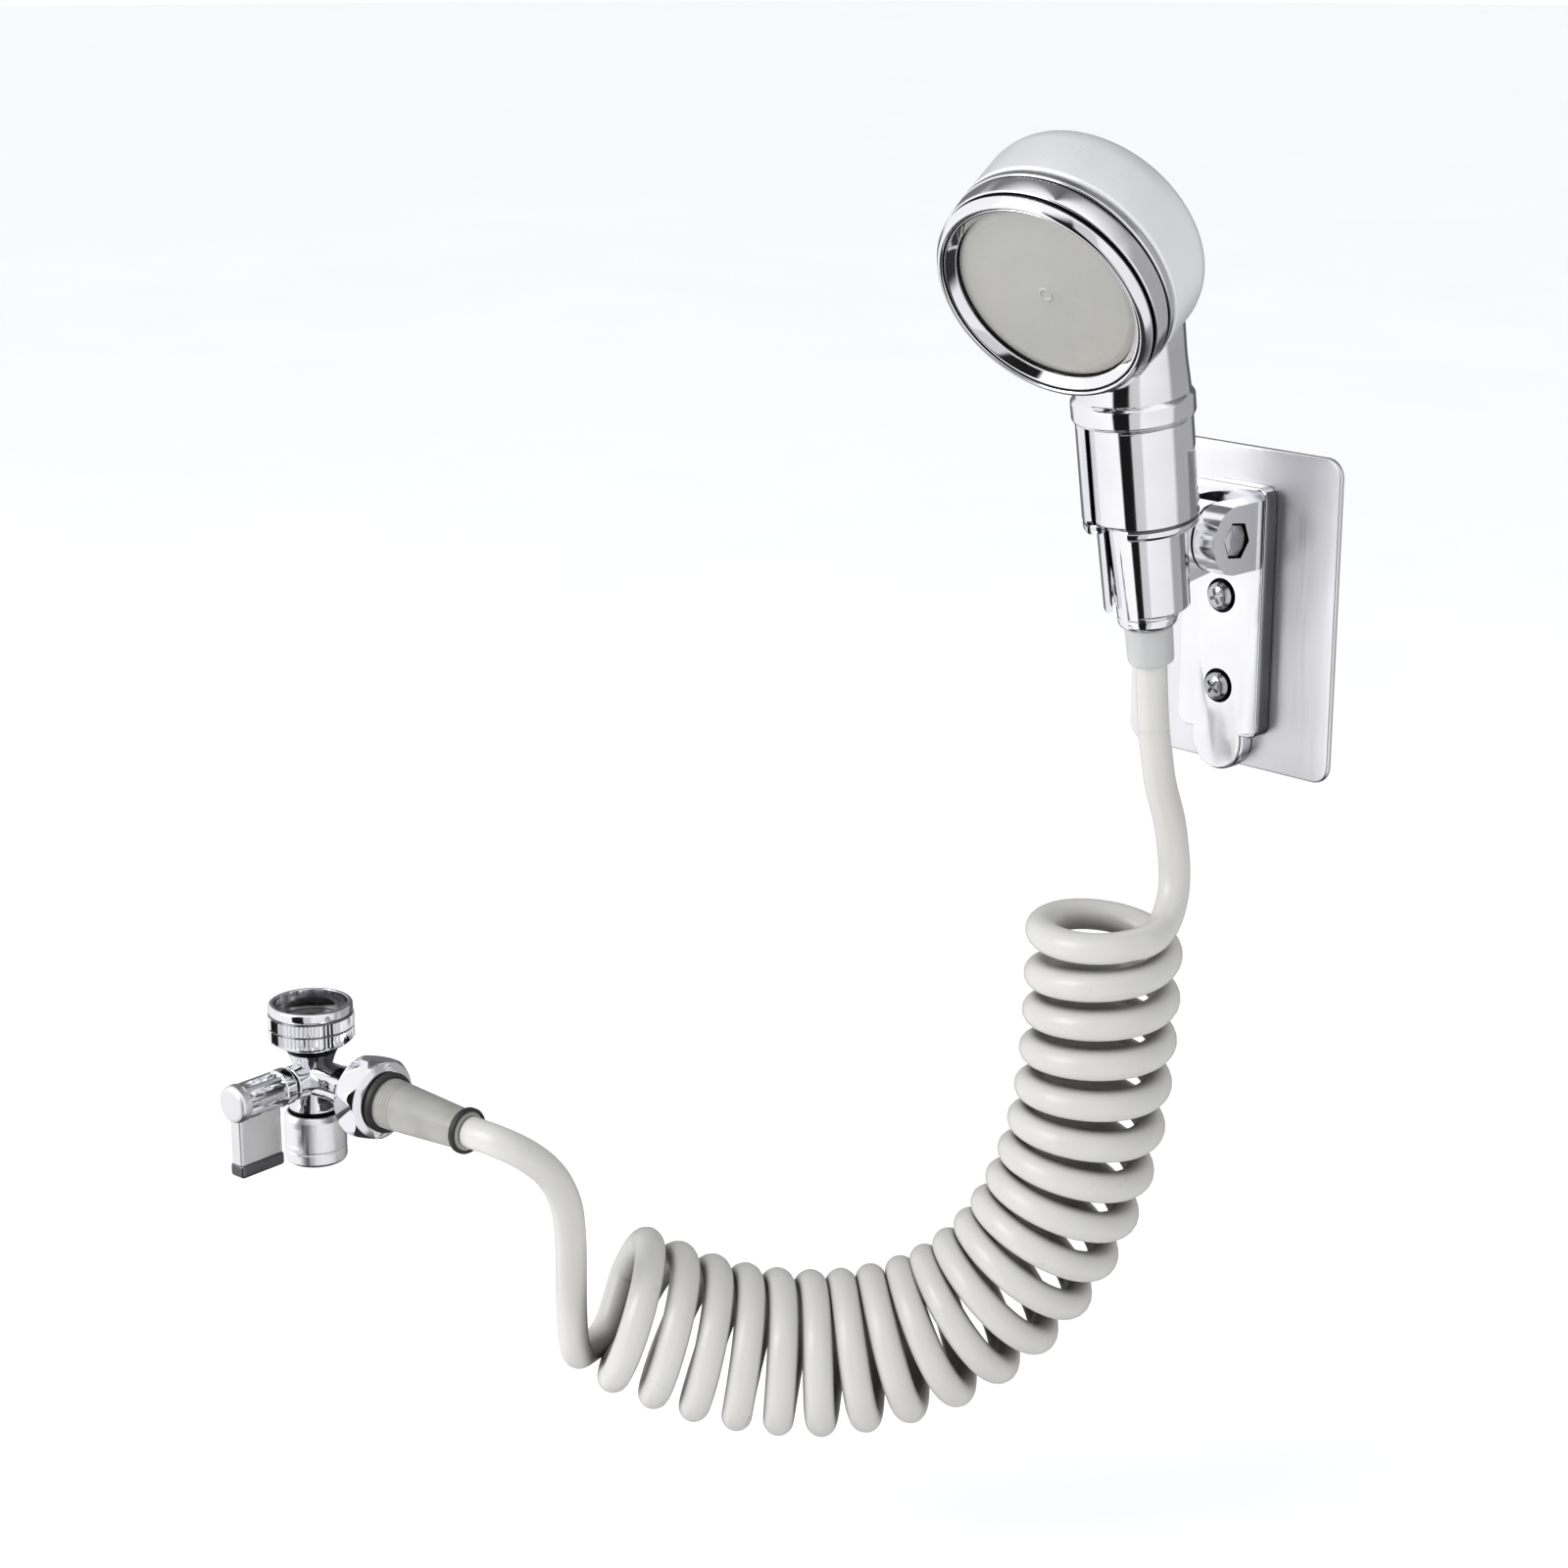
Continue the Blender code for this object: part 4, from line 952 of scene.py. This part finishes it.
def hose_ends():
    nut = turned([(8.4, 11.6), (9.6, 11.6), (10.0, 11.1), (10.0, 9.6), (8.75, -15.6), (8.6, -15.9),
                  (8.6, -16.3), (8.75, -16.6), (8.6, -18.0), (8.2, -18.8), (5.5, -18.8),
                  (5.5, -2.6), (8.4, -2.6)], steps=112)
    piece("hose_cone_nut", nut, HANDLE, CHROME, "hose_end", ["hose_nut"])
    ferrule = turned([(5.15, -6.0), (5.15, -19.2), (6.4, -19.2), (6.9, -19.7), (6.7, -29.2),
                      (6.5, -30.4), (5.6, -31.0), (3.4, -31.0), (3.4, -6.0)], steps=96, soft=0.5)
    piece("hose_ferrule_sleeve", ferrule, HANDLE, FERRULE, "hose_end",
          ["hose_ferrule"])


# ------------------------------------------------------------------ diverter valve

def fluted(radius, depth, teeth, low, high, sharpness=4):
    """Round bar with grip teeth of a rounded section."""
    count = teeth * sharpness
    bm = bmesh.new()
    for z in (low, high):
        for k in range(count):
            r = radius - depth * 0.5 * (1 - math.cos(math.tau * k / sharpness))
            bm.verts.new((r * math.cos(math.tau * k / count), r * math.sin(math.tau * k / count), z))
    bm.verts.ensure_lookup_table()
    lower, upper = bm.verts[:count], bm.verts[count:]
    for k in range(count):
        n = (k + 1) % count
        bm.faces.new((lower[k], lower[n], upper[n], upper[k]))
    bm.faces.new(lower[::-1])
    bm.faces.new(upper)
    return bm


def inlet_nut():
    """Swivel nut: two knurled bands between plain rings."""
    core = turned([(11.7, 23.4), (12.1, 23.2), (12.4, 22.7), (12.4, 20.9), (12.1, 20.4), (11.8, 20.2),
                   (11.8, 12.4), (11.5, 11.6), (11.0, 11.2), (8.6, 11.2), (8.6, 13.4), (10.9, 13.4),
                   (10.9, 23.4)], steps=128)
    bands = [carve(fluted(12.75, 0.55, 64, low, high), [bar(11.3, (0, 0, 0), (0, 0, 40), 96)])
             for low, high in ((12.6, 15.9), (16.5, 19.8))]
    bm = carve(core, bands, "UNION")

    # Painted shade: dark plating in the grooves between the knurled bands and the plain ring.
    def groove(at, normal):
        r = math.hypot(at.x, at.y)
        return 11.2 < r < 12.0 and (15.9 < at.z < 16.5 or 19.8 < at.z < 20.5)

    piece("inlet_nut_knurled", bm, VALVE, CHROME_CAST, "inlet_swivel",
          ["inlet_nut"], sharp=40, marks=[(PAINTED_SHADE, groove)])


def valve_body():
    core = turned([(0, 15.0), (10.3, 15.0), (10.3, 13.8), (8.1, 13.6), (8.1, 10.4), (7.7, 8.9),
                   (6.7, 6.7), (5.7, 3.6), (5.3, 0), (5.6, -3.4), (6.4, -6.2), (7.5, -8.6),
                   (7.5, -9.4), (7.3, -9.8), (7.3, -14.8), (0, -14.8)], steps=112, soft=0.6)
    side = turned([(0, 26.6), (10.0, 26.6), (10.3, 26.3), (10.3, 22.2), (8.6, 21.2), (7.3, 19.6),
                   (6.4, 16), (5.6, 10), (5.6, 0), (0, 0)], ALONG_X, soft=0.5, steps=96)
    boss = turned([(0, 9.4), (4.8, 9.4), (5.1, 9.0), (5.1, 0), (0, 0)], ALONG_MINUS_Y, soft=0.3,
                  steps=96)
    bm = carve(core, [side, boss], "UNION")
    bm = carve(bm, [bar(6.6, (0, 0, 9.0), (0, 0, 20), 64), bar(3.0, (0, 0, 0), (0, 0, 12), 32),
                    bar(2.5, (0, -4, 0), (0, -14, 0), 32)])

    # Painted shade: near-black plating on the necks above and below the column.
    def neck_gap(at, normal):
        r = math.hypot(at.x, at.y)
        return r > 7.2 and (8.4 < at.z < 13.7 or -14.7 < at.z < -9.2)

    # Painted shade: dark plating on the column's flares where they meet the side outlet and the boss.
    def armpit(at, normal):
        return abs(normal.x) > 0.8 and 4.2 < abs(at.z) < 8.4 and abs(at.x) < 8.0

    piece("valve_body_cast", bm, VALVE, CHROME_CAST, "root", ["valve_body"],
          edge=0.3, marks=[(PAINTED_SHADE, armpit), (PAINTED_DEEP_SHADE, neck_gap)])
    gland = carve(bar(5.0, (0, -9.9, 0), (0, -12.6, 0), 6), [bar(2.5, (0, -8, 0), (0, -14, 0), 32)])
    piece("gland_nut_hex", gland, VALVE, CHROME, "root", ["gland_nut"],
          edge=0.25)


def lever():
    """Fluted grip with a domed cap, and a flat paddle that hangs from it."""
    grip = fluted(5.4, 0.7, 12, 14.0, 28.4)
    cap = turned([(0, 31.7), (4.2, 31.6), (5.2, 31.2), (5.7, 30.4), (5.7, 28.0), (5.2, 27.6),
                  (0, 27.6)], steps=72)
    foot = turned([(0, 14.6), (5.2, 14.6), (5.6, 14.1), (5.6, 11.0), (5.45, 10.6), (5.15, 10.6),
                   (5.15, 13.0), (0, 13.0)], steps=72, soft=0.1)
    bm = carve(grip, [cap, foot], "UNION")
    bm.transform(ALONG_MINUS_Y)
    paddle = block((-2.3, -30.4, -19.6), (2.3, -14.6, -1.0), 0.9)
    toe = block((-2.9, -30.6, -22.8), (2.9, -14.4, -18.6), 1.1)
    bm = carve(bm, [paddle, toe], "UNION")
    bm = carve(bm, [bar(2.5, (0, -10, 0), (0, -21.8, 0), 32)])

    def flutes(at, normal):
        return math.hypot(at.x, at.z) < 5.8 and -27.7 < at.y < -10.0

    # Painted shade: the paddle's toe, below z -18.6, takes dark plating.
    piece("lever_handle", bm, VALVE, SATIN_LEVER, "lever_arm", ["lever"],
          edge=0.15, sharp=40, marks=[(CHROME_CAST, flutes),
                                      (PAINTED_SHADE, lambda at, normal: at.z < -18.6)])


def aerator():
    shell = turned([(7.7, -10.4), (8.4, -10.6), (9.2, -12.2), (9.2, -21.2), (9.0, -21.5),
                    (9.0, -21.9), (9.2, -22.2), (9.2, -24.9), (8.7, -25.8), (7.8, -25.8),
                    (7.8, -16.4), (7.6, -16.2)], steps=112)
    flats = [block((-12, 8.55, -20.4), (12, 12, -14.0)), block((-12, -12, -20.4), (12, -8.55, -14.0))]
    shell = carve(shell, flats)
    piece("aerator_shell", shell, VALVE, SATIN_SPOUT, "root",
          ["aerator_housing"], edge=0.15)
    mesh_rings = carve(turned([(0, -19.5), (7.4, -19.5), (7.4, -24.9), (6.9, -25.1), (6.5, -24.4),
                               (0, -24.4)], steps=72),
                       [bar(0.55, (r * math.cos(math.tau * k / n), r * math.sin(math.tau * k / n), -22),
                            (r * math.cos(math.tau * k / n), r * math.sin(math.tau * k / n), -26), 8)
                        for r, n in ((1.6, 5), (3.4, 11), (5.2, 17)) for k in range(n)])
    piece("aerator_screen", mesh_rings, VALVE, GREY, "root", ["aerator_insert"])


def tail():
    """Hexagon nut with turned shoulders, black rings and the tapered hose sleeve."""
    nut = turned([(0, 31.2), (9.2, 31.2), (11.6, 30.3), (12.8, 28.2), (12.8, 24.4), (12.0, 22.4),
                  (11.2, 21.6), (0, 21.6)], ALONG_X, soft=0.5)
    hexagon = bar(13.2, (10, 0, 0), (40, 0, 0), 6, math.radians(12))
    nut = carve(nut, [hexagon], "INTERSECT")
    nut = carve(nut, [turned([(0, 35), (6.7, 35), (6.7, 29.4), (10.6, 29.4), (10.6, 10), (0, 10)],
                             ALONG_X, soft=0.1)])
    piece("tail_nut_hex", nut, VALVE, CHROME, "tail_swivel", ["tail_nut"],
          edge=0.3)
    grooves = []
    for k in range(5):
        s = 34.6 + 1.1 * k
        taper = 0.056 * (s - 32.1)
        grooves += [(7.6 - taper, s), (7.35 - taper, s + 0.25), (7.35 - taper, s + 0.55),
                    (7.55 - taper, s + 0.8)]
    sleeve = turned([(3.4, 66.5), (5.3, 66.5), (5.75, 65.9), (5.75, 64.0)] + grooves[::-1]
                    + [(7.6, 32.1), (7.2, 31.5), (3.4, 31.5)], ALONG_X, soft=0.12)
    piece("tail_sleeve_boot", sleeve, VALVE, SLEEVE, "root", ["tail_sleeve"])
    front = turned([(8.6, 33.9), (9.0, 33.4), (9.0, 32.1), (8.6, 31.6), (7.7, 31.6), (7.7, 33.9)],
                   ALONG_X, steps=96)
    piece("sleeve_ring_front_rubber", front, VALVE, RUBBER, "root",
          ["sleeve_ring_front"])
    back = turned([(6.5, 66.3), (6.75, 65.9), (6.75, 64.7), (6.5, 64.3), (5.8, 64.3), (5.8, 66.3)],
                  ALONG_X, steps=96)
    piece("sleeve_ring_back_rubber", back, VALVE, RUBBER, "root",
          ["sleeve_ring_back"])


def carried_over():
    dress(RUBBER, "face_seal", "hose_washer", "inlet_washer", "stem_seal", "tail_washer")
    dress(BRASS, "hose_fitting", "tail_fitting", "lever_stem", "valve_ball")
    dress(WHITE, "flow_disc")


camera()
hose()
studio()
floor()
wall_plate()
holder_base()
base_screws()
pivot()
holder_jaw()
rear_drum()
neck()
collar()
handle_sleeve()
bezel()
spray_plate()
hose_ends()
inlet_nut()
valve_body()
lever()
aerator()
tail()
carried_over()

bpy.context.view_layer.update()
